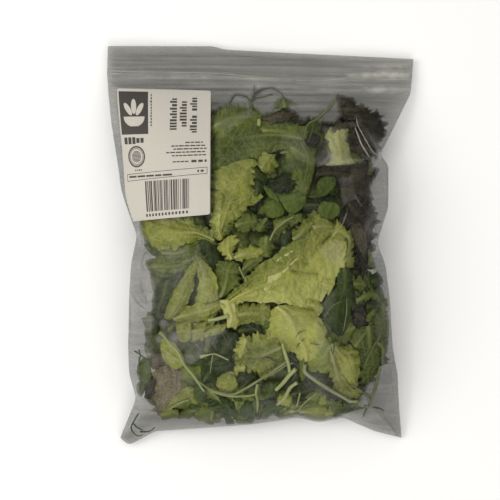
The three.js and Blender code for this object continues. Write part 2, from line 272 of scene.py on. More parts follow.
def lay_leaf(kind, left, right, depth, falls=(1.5, 1.5), rib=(1.2, 0.3), frill=(2.2, 12, 1.4),
             teeth=(1.0, 3.4), pleats=(2.5, 1.1), pinches=(), sway=1.4, tone=0.5, step=0.9):
    """Lays one leaf between its left and its right rim, both seen from above and drawn from its base to its
    tip. depth is how far it lies under the film along its length, and falls how much deeper its rims are.
    rib is how stout its midrib is at base and tip, and step the size of its mesh. frill is the height, length
    and sideways reach of its ruffles, teeth the reach and length of its teeth, pleats the number and height
    of its long soft folds, and pinches are sharp ones: from, to, depth and reach."""
    seed = int(random.integers(1 << 30))
    pick = np.random.default_rng(seed)
    rough_left, rough_right = even_places(left, 40), even_places(right, 40)
    spine = np.hypot(*np.diff((rough_left + rough_right) / 2, axis=0).T).sum()
    gape = np.hypot(*(rough_left - rough_right).T).max()
    rows = int(np.clip(spine / step, *FEWEST_AND_MOST_ROWS))
    columns = int(np.clip(gape * 1.1 / step, *FEWEST_AND_MOST_COLUMNS))
    on_left, on_right = even_places(left, rows), even_places(right, rows)
    middle, half = (on_left + on_right) / 2, (on_left - on_right) / 2
    run = np.concatenate([[0], np.cumsum(np.hypot(*np.diff(middle, axis=0).T))])
    t = run / run[-1]
    half *= np.minimum(1, 0.3 + 3 * np.sqrt(t * (1 - t)))[:, None]
    wide = np.maximum(np.hypot(*half.T), 0.3)
    across = np.linspace(-1, 1, columns)
    across = np.sign(across) * np.abs(across) ** 0.85
    v, s, t_all = np.tile(across, rows), np.repeat(run, columns), np.repeat(t, columns)
    wide_all, out = np.repeat(wide, columns), np.abs(v)
    starts = pick.uniform(0, 2 * math.pi, 26)

    def rim_wave(length, k):
        return np.where(v > 0, ragged(s, length, starts[k : k + 4]), ragged(s, length, starts[k + 4 : k + 8]))

    loose, last = smooth((out - 0.4) / 0.6), smooth((out - 0.74) / 0.26)
    lift, sway_out, small = rim_wave(frill[1], 0), rim_wave(frill[1], 8), rim_wave(frill[1] / 2.7, 16)
    jag = np.abs(np.sin(math.pi * s / teeth[1] + starts[24] + 1.5 * sway_out)) * (0.6 + 0.4 * lift)
    reach = frill[2] * (loose * sway_out + 0.45 * last * small) + teeth[0] * smooth((out - 0.8) / 0.2) * jag
    at = np.repeat(middle, columns, axis=0) + np.repeat(half, columns, axis=0) * v[:, None]
    at += np.repeat(half / wide[:, None], columns, axis=0) * (np.sign(v) * reach)[:, None]
    x, y = into_pouch(at[:, 0], at[:, 1])
    sink = np.repeat(through(depth, t), columns) + np.where(v > 0, falls[0], falls[1]) * out ** 2.5
    ruffle = loose * (0.6 - 0.6 * lift) + 0.5 * last * (0.6 - 0.6 * small)
    sink += frill[0] * ruffle * smooth(t_all / 0.06) * smooth((1 - t_all) / 0.06)
    bend = 0.8 * waver(x / 25, y / 25, seed + 4)
    apart, high, lean = SIDE_RIBS
    side_ribs = np.abs(np.sin(math.pi * (s - lean * out * wide_all) / apart + bend))
    sink += high * side_ribs * smooth(out * 5) * (1 - out)
    for length, height in BLISTERS:
        sink += height * (1 - np.abs(waver(x / length, y / length, seed + 3))) ** 2 * smooth(out * 4)
    bent = v + 0.25 * waver(s / 40, v, seed + 1)
    sink += pleats[1] * (0.5 + 0.5 * np.cos(math.pi * pleats[0] * bent + starts[25])) * smooth(out * 3)
    sink += sway * (0.5 + 0.5 * waver(x / 30, y / 30, seed + 2))
    for (x0, y0), (x1, y1), deep, narrow in pinches:
        long = math.hypot(x1 - x0, y1 - y0)
        along = ((x - x0) * (x1 - x0) + (y - y0) * (y1 - y0)) / long
        off = ((x - x0) * (y1 - y0) - (y - y0) * (x1 - x0)) / long
        ends = smooth((along + 2) / 4) * smooth((long - along + 2) / 4)
        sink += deep * ends * np.exp(-np.abs(off / narrow) ** 1.5)
    z = height_at(x, y, sink)
    stout = np.interp(t_all, [0, 1], rib)
    on_rib = smooth(1.4 - out * wide_all / np.maximum(stout, 0.1))
    thickness = LEAF_THICKNESS * (1 - 0.4 * loose) + 0.5 * on_rib * stout
    points, faces = both_faces(np.stack([x, y, z], 1), rows, columns, thickness)
    tones = np.interp(v, [-1, 0, 1], np.broadcast_to(tone, 3)[::-1])
    marks = np.stack([on_rib * smooth(stout / 1.5), out, tones], 1)
    kind.keep(points, faces, np.tile(np.stack([s, v * wide_all], 1), (2, 1)), np.tile(marks, (2, 1)))


def lay_all(kind, rows):
    """Lays leaves that are each given by their rims, their depth, their tone and their manner of rim."""
    for left, right, depth, tone, manner in rows:
        lay_leaf(kind, left, right, [depth + 0.5, depth, depth + 0.7], tone=tone, **manner)


def scatter(kind, count, between, depths, lengths, plump, tones, **shape):
    """Lays leaves anywhere between two corners, each with its own place, turn, length and depth."""
    for _ in range(count):
        middle = random.uniform(*between)
        turn, length = random.uniform(0, 2 * math.pi), random.uniform(*lengths)
        ahead = np.array([math.cos(turn), math.sin(turn)]) * length / 2
        aside = np.array([-ahead[1], ahead[0]])
        bend, wide = aside * random.uniform(-0.35, 0.35), aside * random.uniform(*plump)
        deep = random.uniform(*depths)
        left = [middle - ahead + wide * 0.15, middle + bend + wide, middle + ahead * 0.75 + wide * 0.8,
                middle + ahead * 1.1 + wide * 0.2]
        right = [middle - ahead - wide * 0.15, middle + bend - wide, middle + ahead * 0.75 - wide * 0.8,
                 middle + ahead * 1.1 - wide * 0.2]
        lay_leaf(kind, left, right, [deep, deep - 1, deep + 2], tone=random.uniform(*tones),
                 **{"falls": (3, 3), "sway": 4, **shape})


FRILLED = dict(frill=(3.2, 6, 1.8), teeth=(1.4, 2.8))
SOFT = dict(frill=(1.8, 9, 1.2), teeth=(0.7, 3.4))
PLAIN = dict(frill=(0.9, 14, 0.6), teeth=(0.3, 4), rib=(0.4, 0.3))
NOTCHED = dict(frill=(1, 5, 1.0), teeth=(1.8, 3.4))
CURLED = dict(frill=(3.4, 8, 2.4), teeth=(1.5, 3), pleats=(3, 1.4))
BROAD = dict(frill=(1.4, 20, 0.9), teeth=(0.5, 4), rib=(0.3, 1.2), pleats=(3, 1.2))
TIGHT = dict(frill=(4.6, 7, 2.6), teeth=(1.6, 2.6))
NARROW = dict(rib=(0.6, 0.3), frill=(0.9, 16, 0.5), teeth=(0.4, 4))
batavia = Leaves()
# The large leaves on top, the first of them with the slits that show in its blade
SLITS = [((20, -17), (39, -19), 3.0, 1.2), ((27, -11), (32, -13), 2.0, 1.0), ((40, 1), (46, 7), 2.8, 1.1),
         ((7, -29), (13, -27), 1.6, 1.2), ((16, 6), (30, 12), 1.2, 1.6), ((8, -22), (20, -20), 1.0, 1.6)]
lay_leaf(batavia, [(-26, -36), (-16, -29), (-4, -16), (6, -9), (16, -1), (22, 3), (28, 9), (34, 13), (41, 15),
                   (48, 13), (54, 9)],
         [(-23, -44), (-14, -38), (-2, -37), (15, -38), (26, -40), (35, -40), (41, -34), (45, -28), (48, -22),
          (54, -15), (57, -5)],
         depth=[0.8, 0.2, 0, 0, 0, 0.3], falls=(0.8, 1.5), tone=(0.42, 0.86, 1.0), rib=(0.9, 0.2),
         frill=(1.6, 13, 0.9), teeth=(0.6, 3.4), pinches=SLITS, step=0.8)
lay_leaf(batavia, [(16, -38), (25, -39), (36, -44), (42, -55), (43, -66), (36, -76)],
         [(5, -42), (6, -53), (5, -62), (8, -68), (14, -71), (24, -76)],
         depth=[1.2, 0.3, 0.4, 1], tone=(0.8, 0.93, 0.76), rib=(1.6, 0.8), frill=(1.4, 15, 1))
lay_leaf(batavia, [(-64, -48), (-58, -33), (-50, -18), (-41, -7)],
         [(-57, -49), (-49, -40), (-43, -26), (-39, -11)],
         depth=[0.6, 0.2, 0.2, 0.8], falls=(4, 1), tone=0.64, **NARROW)
lay_leaf(batavia, [(-41, -7), (-33, -14), (-28, -25), (-28, -37)],
         [(-41, -9), (-43, -20), (-42, -30), (-43, -39)],
         depth=[0.6, 0.2, 0.3, 1], falls=(0.5, 3), tone=0.66, **NARROW)
lay_leaf(batavia, [(-58, -47), (-47, -40), (-35, -36), (-25, -34)],
         [(-56, -50), (-43, -50), (-33, -48), (-25, -42)],
         depth=[1, 0.5, 0.6, 1.5], tone=0.66, rib=(1.0, 0.8), frill=(1.0, 14, 0.6))
lay_leaf(batavia, [(-56, -50), (-43, -49), (-29, -48)],
         [(-54, -61), (-41, -63), (-31, -57)],
         depth=[5, 4, 5], tone=0.6, frill=(1.5, 13, 1))
lay_leaf(batavia, [(-31, 4), (-31, 20), (-32, 36), (-29, 48), (-16, 55)],
         [(-25, 4), (-16, 16), (-8, 25), (0, 30), (-5, 43), (-2, 57)],
         depth=[0.6, 0.2, 0.1, 0.4, 0.8], tone=(0.66, 0.68, 0.74), rib=(0.8, 0.2),
         frill=(2, 9, 1.2), teeth=(1.2, 2.4))
lay_leaf(batavia, [(-29, 6), (-43, 15), (-60, 24), (-80, 26)],
         [(-31, 0), (-43, 3), (-58, -3), (-72, 0), (-81, 13)],
         depth=[0.5, 0.3, 0.3, 1.5], tone=0.68, rib=(0.9, 0.2), frill=(2, 12, 1.6))
lay_all(batavia, [
    ([(1, -27), (5, -20), (10, -17), (15, -15), (19, -11), (25, -7)],
     [(4, -32), (8, -27), (12, -23), (16, -19), (20, -14), (25, -9)], -0.3, 1.35, PLAIN),
    ([(10, -9), (16, -5), (21, -3)],
     [(11, -12), (17, -9), (21, -5)], -0.2, 1.1, PLAIN),
    ([(33, 15), (37, 20), (43, 18), (47, 15)],
     [(35, 7), (39, 4), (45, 6), (47, 9)], 0, 0.62, FRILLED),
    ([(47, 8), (49, 16), (53, 13), (56, 9)],
     [(46, 3), (50, 3), (55, 4), (57, 7)], 0, 0.72, FRILLED),
    ([(54, 10), (60, 9), (61, 2), (60, -5), (62, -14)],
     [(54, 5), (55, -1), (54, -7), (55, -16)], 0.3, 0.5, FRILLED),
    ([(41, -20), (45, -20), (49, -22), (49, -25)],
     [(38, -30), (41, -32), (45, -32), (46, -28)], 0, 0.9, FRILLED),
    ([(29, -36), (35, -36), (40, -38), (41, -42)],
     [(30, -41), (34, -43), (37, -46), (39, -45)], 0.1, 0.85, FRILLED),
    ([(19, 6), (25, 13), (30, 17), (34, 16)],
     [(23, 1), (29, 3), (33, 9), (36, 11)], 0.2, 0.46, FRILLED),
    ([(-17, -36), (-16, -43), (-16, -50), (-20, -54)],
     [(-27, -35), (-26, -39), (-23, -46), (-22, -54)], 0, 1.1, PLAIN),
    ([(-15, -39), (-7, -38), (1, -38), (7, -38)],
     [(-17, -53), (-10, -51), (-2, -51), (6, -53)], 2, 0.6, SOFT),
    ([(-17, -38), (-14, -39), (-13, -46)],
     [(-19, -51), (-17, -56), (-15, -53)], 0.8, 0.85, SOFT),
    ([(17, -77), (10, -82), (1, -87), (-7, -84), (-13, -83), (-17, -80)],
     [(10, -56), (4, -57), (-3, -59), (-10, -59), (-15, -63), (-17, -69)], 0.3, (0.62, 0.42, 0.7), CURLED),
    ([(-10, -76), (-13, -77), (-16, -77), (-18, -81)],
     [(-10, -83), (-13, -84), (-16, -85), (-17, -83)], 0, 0.85, FRILLED),
    ([(-12, -60), (-14, -64), (-17, -69), (-16, -73)],
     [(-7, -61), (-7, -67), (-8, -72), (-11, -75)], 0, 0.85, FRILLED),
    ([(49, -63), (56, -67), (63, -71), (65, -80), (64, -92)],
     [(45, -66), (47, -75), (51, -85), (57, -92), (63, -95)], 0.2, (0.6, 0.72, 0.78), SOFT),
    ([(47, -69), (52, -77), (56, -86), (62, -93), (67, -96)],
     [(44, -69), (45, -80), (47, -90), (52, -99), (64, -102)], 0.5, 0.56, SOFT),
    ([(55, -69), (59, -66), (64, -68)],
     [(56, -73), (60, -74), (65, -73)], 0.6, 0.55, FRILLED),
    ([(-21, 20), (-23, 14), (-24, 9), (-25, 3)],
     [(-32, 20), (-31, 13), (-29, 8), (-28, 3)], 0.1, 0.9, FRILLED),
    ([(-20, -10), (-25, -6), (-28, -1), (-25, 3)],
     [(-17, -9), (-17, -2), (-14, 3), (-17, 8)], 0.5, 0.84, FRILLED),
    ([(-18, -7), (-14, -3), (-7, -1), (2, -1)],
     [(-16, -10), (-10, -10), (-3, -9), (2, -7)], 0.7, 0.7, SOFT),
    ([(-66, -63), (-62, -61), (-56, -65), (-50, -73)],
     [(-65, -73), (-62, -80), (-57, -82), (-50, -80)], 1.5, 0.74, PLAIN),
    ([(-29, -90), (-26, -84), (-19, -82), (-16, -86)],
     [(-29, -94), (-23, -97), (-17, -97), (-14, -93)], 0.8, 0.66, PLAIN),
    ([(11, -100), (16, -96), (21, -96)],
     [(12, -106), (16, -108), (21, -106)], 0.5, 0.78, SOFT),
    ([(38, -105), (39, -100), (42, -97)],
     [(42, -106), (44, -104), (43, -100)], 0.3, 0.66, PLAIN),
    ([(19, -108), (31, -105), (43, -106), (49, -110)],
     [(19, -112), (30, -116), (41, -117), (49, -114)], 0.6, 0.6, SOFT),
    ([(43, -109), (46, -107), (49, -110)],
     [(43, -116), (47, -116), (49, -114)], 0.1, 0.62, FRILLED),
    ([(-2, 53), (-2, 58), (1, 62), (5, 59)],
     [(2, 46), (6, 47), (10, 52), (11, 59)], 1.6, 0.66, FRILLED),
    # This pale leaf lies under painted glare on the film, and its paleness is partly a painted highlight too.
    ([(35, 51), (44, 54), (46, 63), (42, 71), (42, 78)],
     [(70, 54), (62, 55), (58, 62), (59, 71), (60, 78)], 2.6, (0.84, 0.9, 0.6), PLAIN),
    ([(-62, -106), (-58, -100), (-52, -95), (-44, -92)],
     [(-61, -110), (-54, -106), (-47, -102), (-41, -97)], 1, 0.6, PLAIN),
    ([(-67, -110), (-61, -108), (-54, -108)],
     [(-66, -115), (-60, -115), (-54, -114)], 0.8, 0.5, SOFT),
    ([(-56, -52), (-50, -48), (-45, -48)],
     [(-54, -62), (-49, -64), (-45, -60)], 1.5, 0.66, PLAIN),
    ([(-36, -56), (-31, -53), (-25, -51), (-21, -51)],
     [(-37, -60), (-32, -60), (-27, -58), (-23, -55)], 1.2, 0.62, PLAIN),
])


def add(tree, kind, inputs=None, **settings):
    """A node of that kind in a tree, with its settings, and with its inputs set to values or linked."""
    made = tree.nodes.new(kind)
    for name, value in settings.items():
        setattr(made, name, value)
    for name, value in (inputs or {}).items():
        if isinstance(value, bpy.types.NodeSocket):
            tree.links.new(value, made.inputs[name])
        else:
            made.inputs[name].default_value = value
    return made


def paint(code, strength=1.0):
    """A colour from its six hex digits, as the linear colour that shaders take."""
    parts = [int(code[k : k + 2], 16) / 255 for k in (0, 2, 4)]
    linear = [p / 12.92 if p <= 0.04045 else ((p + 0.055) / 1.055) ** 2.4 for p in parts]
    return (*[min(1.0, p * strength) for p in linear], 1.0)


class Surface:
    """A material in the making, with a short call for each node that it is put together from."""

    def __init__(self, name):
        self.material = bpy.data.materials.new(name)
        self.material.use_nodes = True
        self.material.node_tree.nodes.clear()
        self.coordinates = self.node("TexCoord").outputs
        self.place = self.coordinates["Object"]

    def node(self, kind, inputs=None, **settings):
        return add(self.material.node_tree, "ShaderNode" + kind, inputs, **settings)

    def mark(self, name):
        """A number that the mesh keeps for its points."""
        return self.node("Attribute", attribute_name=name).outputs["Fac"]

    def noise(self, scale, detail, place=None):
        given = {"Vector": place or self.place, "Scale": scale, "Detail": detail}
        return self.node("TexNoise", given).outputs[0]

    def sums(self, operation, a, b=0.0, c=0.0, **settings):
        return self.node("Math", {0: a, 1: b, 2: c}, operation=operation, **settings).outputs[0]

    def ramp(self, value, low, high, to_low, to_high, kind="LINEAR"):
        limits = {"Value": value, "From Min": low, "From Max": high, "To Min": to_low, "To Max": to_high}
        return self.node("MapRange", limits, interpolation_type=kind).outputs[0]

    def blend(self, share, first, second):
        """A colour that goes from the first to the second."""
        return self.node("Mix", {0: share, 6: first, 7: second}, data_type="RGBA").outputs[2]

    def bump(self, strength, distance, height):
        return self.node("Bump", {"Strength": strength, "Distance": distance, "Height": height}).outputs[0]

    def shader(self, kind, inputs):
        return self.node("Bsdf" + kind, inputs).outputs[0]

    def over(self, share, under, top):
        """One shader over another by a share."""
        return self.node("MixShader", {0: share, 1: under, 2: top}).outputs[0]

    def done(self, shader):
        self.node("OutputMaterial", {"Surface": shader})
        return self.material


def leaf_material(name, deep, light, vein, rim, rim_share, shine=0.42, through_light="b7c95a", net_share=0.18,
                  flecks=0.6):
    """A leaf's skin: its colour goes from deep to light by leaf and in clouds, its ribs and the veins that
    branch off them are paler, the skin between the veins stands up in blisters, and light passes through."""
    skin = Surface(name)
    along, across, _ = skin.node("SeparateXYZ", {0: skin.coordinates["UV"]}).outputs
    rib, rim_mark, tone = skin.mark("rib"), skin.mark("rim"), skin.mark("tone")
    sums, soft = skin.sums, "SMOOTHSTEP"
    clouds, warp, grit = skin.noise(70.0, 5.0), skin.noise(160.0, 2.0), skin.noise(800.0, 3.0)
    slant = sums("MULTIPLY_ADD", warp, 0.5, sums("MULTIPLY_ADD", sums("ABSOLUTE", across), -0.75, along))
    branch = skin.ramp(sums("PINGPONG", sums("MULTIPLY", slant, 1.1), 0.5), 0.0, 0.1, 1.0, 0.0, soft)
    branch = sums("MULTIPLY", branch, skin.ramp(rim_mark, 0.5, 1.0, 1.0, 0.1, soft))
    blisters = skin.node("TexVoronoi", {"Vector": skin.coordinates["UV"], "Scale": 2.6, "Randomness": 0.95},
                         feature="DISTANCE_TO_EDGE").outputs["Distance"]
    shade = sums("MULTIPLY_ADD", clouds, 0.6, sums("ADD", tone, -0.3))
    shade = sums("MULTIPLY_ADD", sums("ADD", grit, -0.5), sums("MULTIPLY", tone, flecks), shade)
    shade = sums("POWER", sums("MAXIMUM", shade, 0.0), 1.8)
    colour = skin.blend(shade, paint(deep), paint(light))
    colour = skin.blend(sums("MULTIPLY", sums("POWER", rim_mark, 4.0), rim_share), colour, paint(rim))
    net = sums("MULTIPLY", skin.ramp(blisters, 0.0, 0.08, 1.0, 0.0, soft), net_share)
    veined = sums("MAXIMUM", sums("MULTIPLY_ADD", branch, 0.1, net), sums("MULTIPLY", rib, 0.45))
    veined = sums("MAXIMUM", veined, skin.ramp(tone, 0.7, 1.3, 0.0, 0.6, soft))
    colour = skin.blend(veined, colour, paint(vein))
    raised = sums("MULTIPLY", skin.ramp(blisters, 0.0, 0.4, 0.0, 1.0, soft), 0.7)
    raised = sums("MULTIPLY_ADD", clouds, 1.6, sums("MULTIPLY_ADD", branch, -0.35, raised))
    normal = skin.bump(0.55, 0.0008, raised)
    face = skin.shader("Principled", {"Base Color": colour, "Specular IOR Level": 0.25, "Normal": normal,
                                      "Roughness": sums("MULTIPLY_ADD", clouds, 0.25, shine - 0.1)})
    lit_through = skin.blend(0.4, colour, paint(through_light))
    glow = skin.shader("Translucent", {"Color": lit_through, "Normal": normal})
    return skin.done(skin.over(0.2, face, glow))


batavia_leaves = batavia.make("batavia_leaves", leaf_material(
    "batavia_skin", deep="2f3f0e", light="abae52", vein="c6c398", rim="929e42", rim_share=0.35))

# Green lettuce leaves
# Darker olive green lettuce, with the same frilled rims. Some leaves show between the light ones, and the
# rest fill the pouch from its back film up, one layer of them spread evenly so that no gap goes through.
greens = Leaves()
BELLY = ((-50, -92), (58, 74))  # two corners of the full part of the pouch
scatter(greens, 34, BELLY, (4, 12), (34, 58), (0.45, 0.7), (0.25, 0.6), frill=(4, 10, 2.4), step=2.0)
scatter(greens, 34, BELLY, (14, 40), (40, 66), (0.45, 0.7), (0.25, 0.55), frill=(4, 13, 2.4), step=2.8)
for x in range(-49, 66, 24):
    for y in range(-94, 88, 26):
        near = ((x - 4, y - 4), (x + 4, y + 4))
        scatter(greens, 1, near, (11, 16), (42, 50), (0.65, 0.8), (0.2, 0.4), step=3.0)
scatter(greens, 22, ((-52, -113), (44, -96)), (1.6, 5), (14, 26), (0.45, 0.7), (0.4, 0.62), step=1.4, **SOFT)
lay_all(greens, [
    ([(-31, -34), (-31, -18), (-28, -11), (-21, -11)],
     [(-21, -34), (-14, -27), (-12, -16), (-14, -10)], 2, 0.42, FRILLED),
    ([(-35, 76), (-20, 83), (-6, 85), (10, 83), (28, 76)],
     [(-35, 44), (-20, 50), (-4, 57), (14, 62), (29, 63)], 1.6, (0.46, 0.34, 0.26), BROAD),
    ([(-33, 83), (-23, 92), (-14, 92), (1, 89)],
     [(-33, 69), (-21, 73), (-10, 76), (1, 80)], 0.7, 0.5, FRILLED),
    ([(1, 79), (10, 80), (21, 80), (31, 79)],
     [(1, 71), (12, 69), (22, 68), (31, 69)], 1, 0.5, SOFT),
    ([(17, 76), (26, 79), (36, 79), (38, 69)],
     [(16, 56), (21, 40), (28, 32), (33, 35)], 5, 0.42, SOFT),
    ([(7, 89), (10, 94), (12, 98), (14, 99)],
     [(25, 92), (22, 94), (19, 97), (16, 96)], 1, 0.4, NOTCHED),
    ([(8, 11), (10, 17), (18, 20), (27, 21)],
     [(10, 7), (16, 11), (21, 13), (27, 15)], 0.9, 0.44, SOFT),
    ([(1, 6), (-2, -1), (1, -8)],
     [(7, 5), (8, -1), (6, -8)], 1.2, 0.45, SOFT),
    ([(-11, -9), (-7, -5), (1, -5)],
     [(-13, -24), (-6, -18), (2, -11)], 1.6, 0.4, FRILLED),
    ([(-25, 16), (-21, 18), (-18, 15)],
     [(-25, 5), (-21, 5), (-19, 10)], 0.8, 0.36, FRILLED),
    ([(2, 18), (-2, 15), (-4, 9)],
     [(6, 17), (5, 12), (2, 8)], 2, 0.35, SOFT),
    ([(20, -104), (30, -102), (39, -103)],
     [(20, -109), (30, -110), (39, -108)], 1, 0.45, SOFT),
    ([(26, -90), (25, -79), (26, -69), (28, -64)],
     [(29, -88), (30, -79), (31, -71), (33, -65)], 0.6, 0.42, PLAIN),
    ([(31, -71), (33, -64), (39, -62), (47, -59)],
     [(30, -82), (38, -84), (46, -82), (47, -69)], 1.6, 0.68, PLAIN),
    ([(60, -22), (64, -19), (68, -24)],
     [(61, -29), (65, -32), (70, -28)], 0.6, 0.46, FRILLED),
    ([(62, -34), (68, -30), (75, -29), (79, -34)],
     [(63, -39), (68, -37), (74, -36), (78, -39)], 0.5, 0.44, FRILLED),
    ([(68, -49), (72, -42), (76, -38)],
     [(71, -51), (75, -46), (78, -42)], 0.6, 0.42, PLAIN),
    ([(79, -30), (83, -36), (84, -48), (83, -60)],
     [(77, -31), (78, -43), (79, -58)], 4, 0.42, SOFT),
    ([(72, -3), (74, -8), (74, -15)],
     [(70, -3), (70, -9), (72, -15)], 0.8, 0.36, PLAIN),
    ([(81, -51), (83, -61), (83, -71), (83, -77), (78, -82), (76, -90)],
     [(60, -55), (60, -66), (64, -76), (64, -84), (66, -92)], 1.2, (0.18, 0.32, 0.24), CURLED),
    ([(59, -64), (62, -56), (70, -52)],
     [(64, -69), (70, -66), (73, -58)], 0.8, 0.42, SOFT),
    ([(76, -63), (82, -64), (83, -72), (82, -79)],
     [(77, -66), (78, -72), (78, -80)], 0.4, 0.28, FRILLED),
    ([(41, -96), (47, -100), (55, -104)],
     [(39, -105), (46, -108), (54, -107)], 1.2, 0.34, SOFT),
    ([(-76, -11), (-66, -7), (-54, -7), (-44, -7)],
     [(-73, -18), (-63, -21), (-53, -20), (-45, -14)], 2.2, 0.4, SOFT),
    ([(-66, -1), (-56, -1), (-47, 2), (-38, 5)],
     [(-64, -9), (-54, -10), (-45, -9), (-39, -6)], 3, 0.36, SOFT),
    ([(-19, -99), (-14, -98), (-4, -98)],
     [(-19, -104), (-14, -104), (-4, -104)], 2, 0.5, SOFT),
    ([(23, -42), (29, -42), (35, -46)],
     [(26, -48), (32, -51), (38, -53)], 4, 0.3, SOFT),
    ([(-17, 16), (-10, 20), (-2, 20)],
     [(-16, 9), (-9, 9), (-2, 11)], 3, 0.4, SOFT),
    ([(-80, -84), (-77, -92), (-74, -106)],
     [(-69, -84), (-68, -94), (-68, -106)], 4, 0.3, PLAIN),
    ([(75, -34), (83, -44), (85, -56), (84, -69)],
     [(67, -36), (70, -48), (72, -59), (75, -71)], 4, 0.3, PLAIN),
    ([(70, -15), (76, -23), (79, -35)],
     [(62, -18), (66, -28), (68, -38)], 5, 0.24, PLAIN),
    ([(43, -104), (51, -103), (58, -106)],
     [(44, -115), (51, -113), (58, -110)], 3, 0.3, PLAIN),
    ([(-9, -105), (-2, -104), (5, -106)],
     [(-9, -115), (-2, -116), (4, -115)], 2.5, 0.34, PLAIN),
    ([(-72, -8), (-60, -6), (-50, -4), (-38, -2)],
     [(-73, -28), (-62, -30), (-50, -28), (-40, -24)], 6, 0.36, SOFT),
])
green_leaves = greens.make("green_lettuce_leaves", leaf_material(
    "green_lettuce_skin", deep="26360f", light="98a343", vein="abb175", rim="7a8a38", rim_share=0.35))

# Red lettuce leaves
# Lollo rosso, whose blade is nearly black red and tightly frilled. Most of it lies on the right side of the
# bag, and one wilted leaf lies at the lower left.
lollo = Leaves()
WILTED = dict(frill=(2.4, 9, 1.6), teeth=(1.2, 3), pleats=(7, 1.6), sway=3)
scatter(lollo, 10, ((44, -20), (66, 78)), (4, 14), (26, 40), (0.5, 0.8), (0.08, 0.3),
        frill=(5, 8, 2.6), step=1.4)
lay_all(lollo, [
    ([(50, 100), (54, 99), (59, 98), (64, 96)],
     [(51, 93), (56, 93), (60, 93), (64, 93)], 0.6, 0.2, NOTCHED),
    ([(50, 93), (59, 93), (70, 93)],
     [(51, 86), (59, 86), (69, 86)], 3, 0.42, SOFT),
    ([(60, 89), (72, 90), (79, 85), (83, 80), (82, 74), (80, 68), (78, 63), (75, 59)],
     [(50, 86), (52, 82), (60, 80), (64, 75), (67, 68), (70, 64), (72, 61)], 1.2, 0.12, TIGHT),
    ([(64, 88), (74, 89), (80, 83)],
     [(66, 77), (72, 73), (79, 76)], 0.6, 0.08, TIGHT),
    ([(1, 86), (10, 88), (19, 88), (27, 88)],
     [(1, 79), (10, 79), (17, 81), (25, 84)], 1, 0.46, SOFT),
    ([(24, 80), (28, 83), (32, 86)],
     [(25, 78), (30, 79), (33, 83)], 0.9, 0.3, PLAIN),
    ([(39, 75), (41, 79), (46, 82)],
     [(42, 73), (45, 77), (48, 81)], 0.8, 0.16, PLAIN),
    ([(29, 65), (30, 71), (34, 74)],
     [(35, 64), (39, 67), (40, 71)], 0.9, 0.1, PLAIN),
    ([(47, 77), (50, 81), (59, 82), (63, 81)],
     [(47, 75), (52, 75), (58, 77), (63, 78)], 0.9, 0.3, SOFT),
    ([(58, 77), (62, 78), (66, 73)],
     [(57, 68), (62, 65), (67, 65)], 1.5, 0.12, SOFT),
    ([(37, 61), (40, 64), (45, 60)],
     [(37, 54), (41, 52), (45, 55)], 1.4, 0.25, PLAIN),
    ([(37, 52), (49, 52), (60, 53), (72, 56)],
     [(35, 40), (46, 42), (59, 40), (70, 44)], 3, 0.16, SOFT),
    ([(54, 46), (63, 50), (70, 46), (73, 36)],
     [(51, 27), (56, 22), (64, 23), (71, 26)], 3, 0.24, SOFT),
    ([(56, 43), (60, 50), (67, 52)],
     [(60, 39), (66, 43), (71, 50)], 1.5, 0.3, PLAIN),
    ([(63, 32), (70, 27), (75, 22), (78, 16), (75, 11), (75, 6), (72, 1), (72, -5), (71, -14), (69, -20)],
     [(52, 22), (54, 15), (59, 10), (59, 3), (60, -5), (60, -11), (63, -18)], 1, 0.14, TIGHT),
    ([(60, 15), (66, 15), (70, 9), (70, -2)],
     [(59, 9), (61, 3), (64, -5), (66, -11)], 0.3, 0.44, PLAIN),
    ([(62, -38), (68, -38), (72, -46)],
     [(60, -52), (66, -57), (71, -53)], 2.4, 0.1, SOFT),
    ([(60, -11), (64, -11), (67, -16)],
     [(60, -23), (64, -26), (68, -23)], 2, 0.12, SOFT),
    ([(-55, -78), (-49, -86), (-47, -96), (-54, -105), (-60, -116)],
     [(-70, -80), (-72, -89), (-72, -100), (-70, -109), (-68, -114)], 1, 0.86, WILTED),
    ([(-68, -89), (-70, -96), (-74, -102)],
     [(-72, -88), (-75, -94), (-77, -102)], 0.6, 0.2, PLAIN),
    ([(-73, -71), (-68, -71), (-62, -73)],
     [(-72, -81), (-66, -82), (-61, -81)], 2.5, 0.6, PLAIN),
])
lollo_leaves = lollo.make("lollo_rosso_leaves", leaf_material(
    "lollo_rosso_skin", deep="120d08", light="8b806c", vein="57522c", rim="1d1d0c", rim_share=0.35, shine=0.4,
    through_light="3a2414", flecks=1.6))

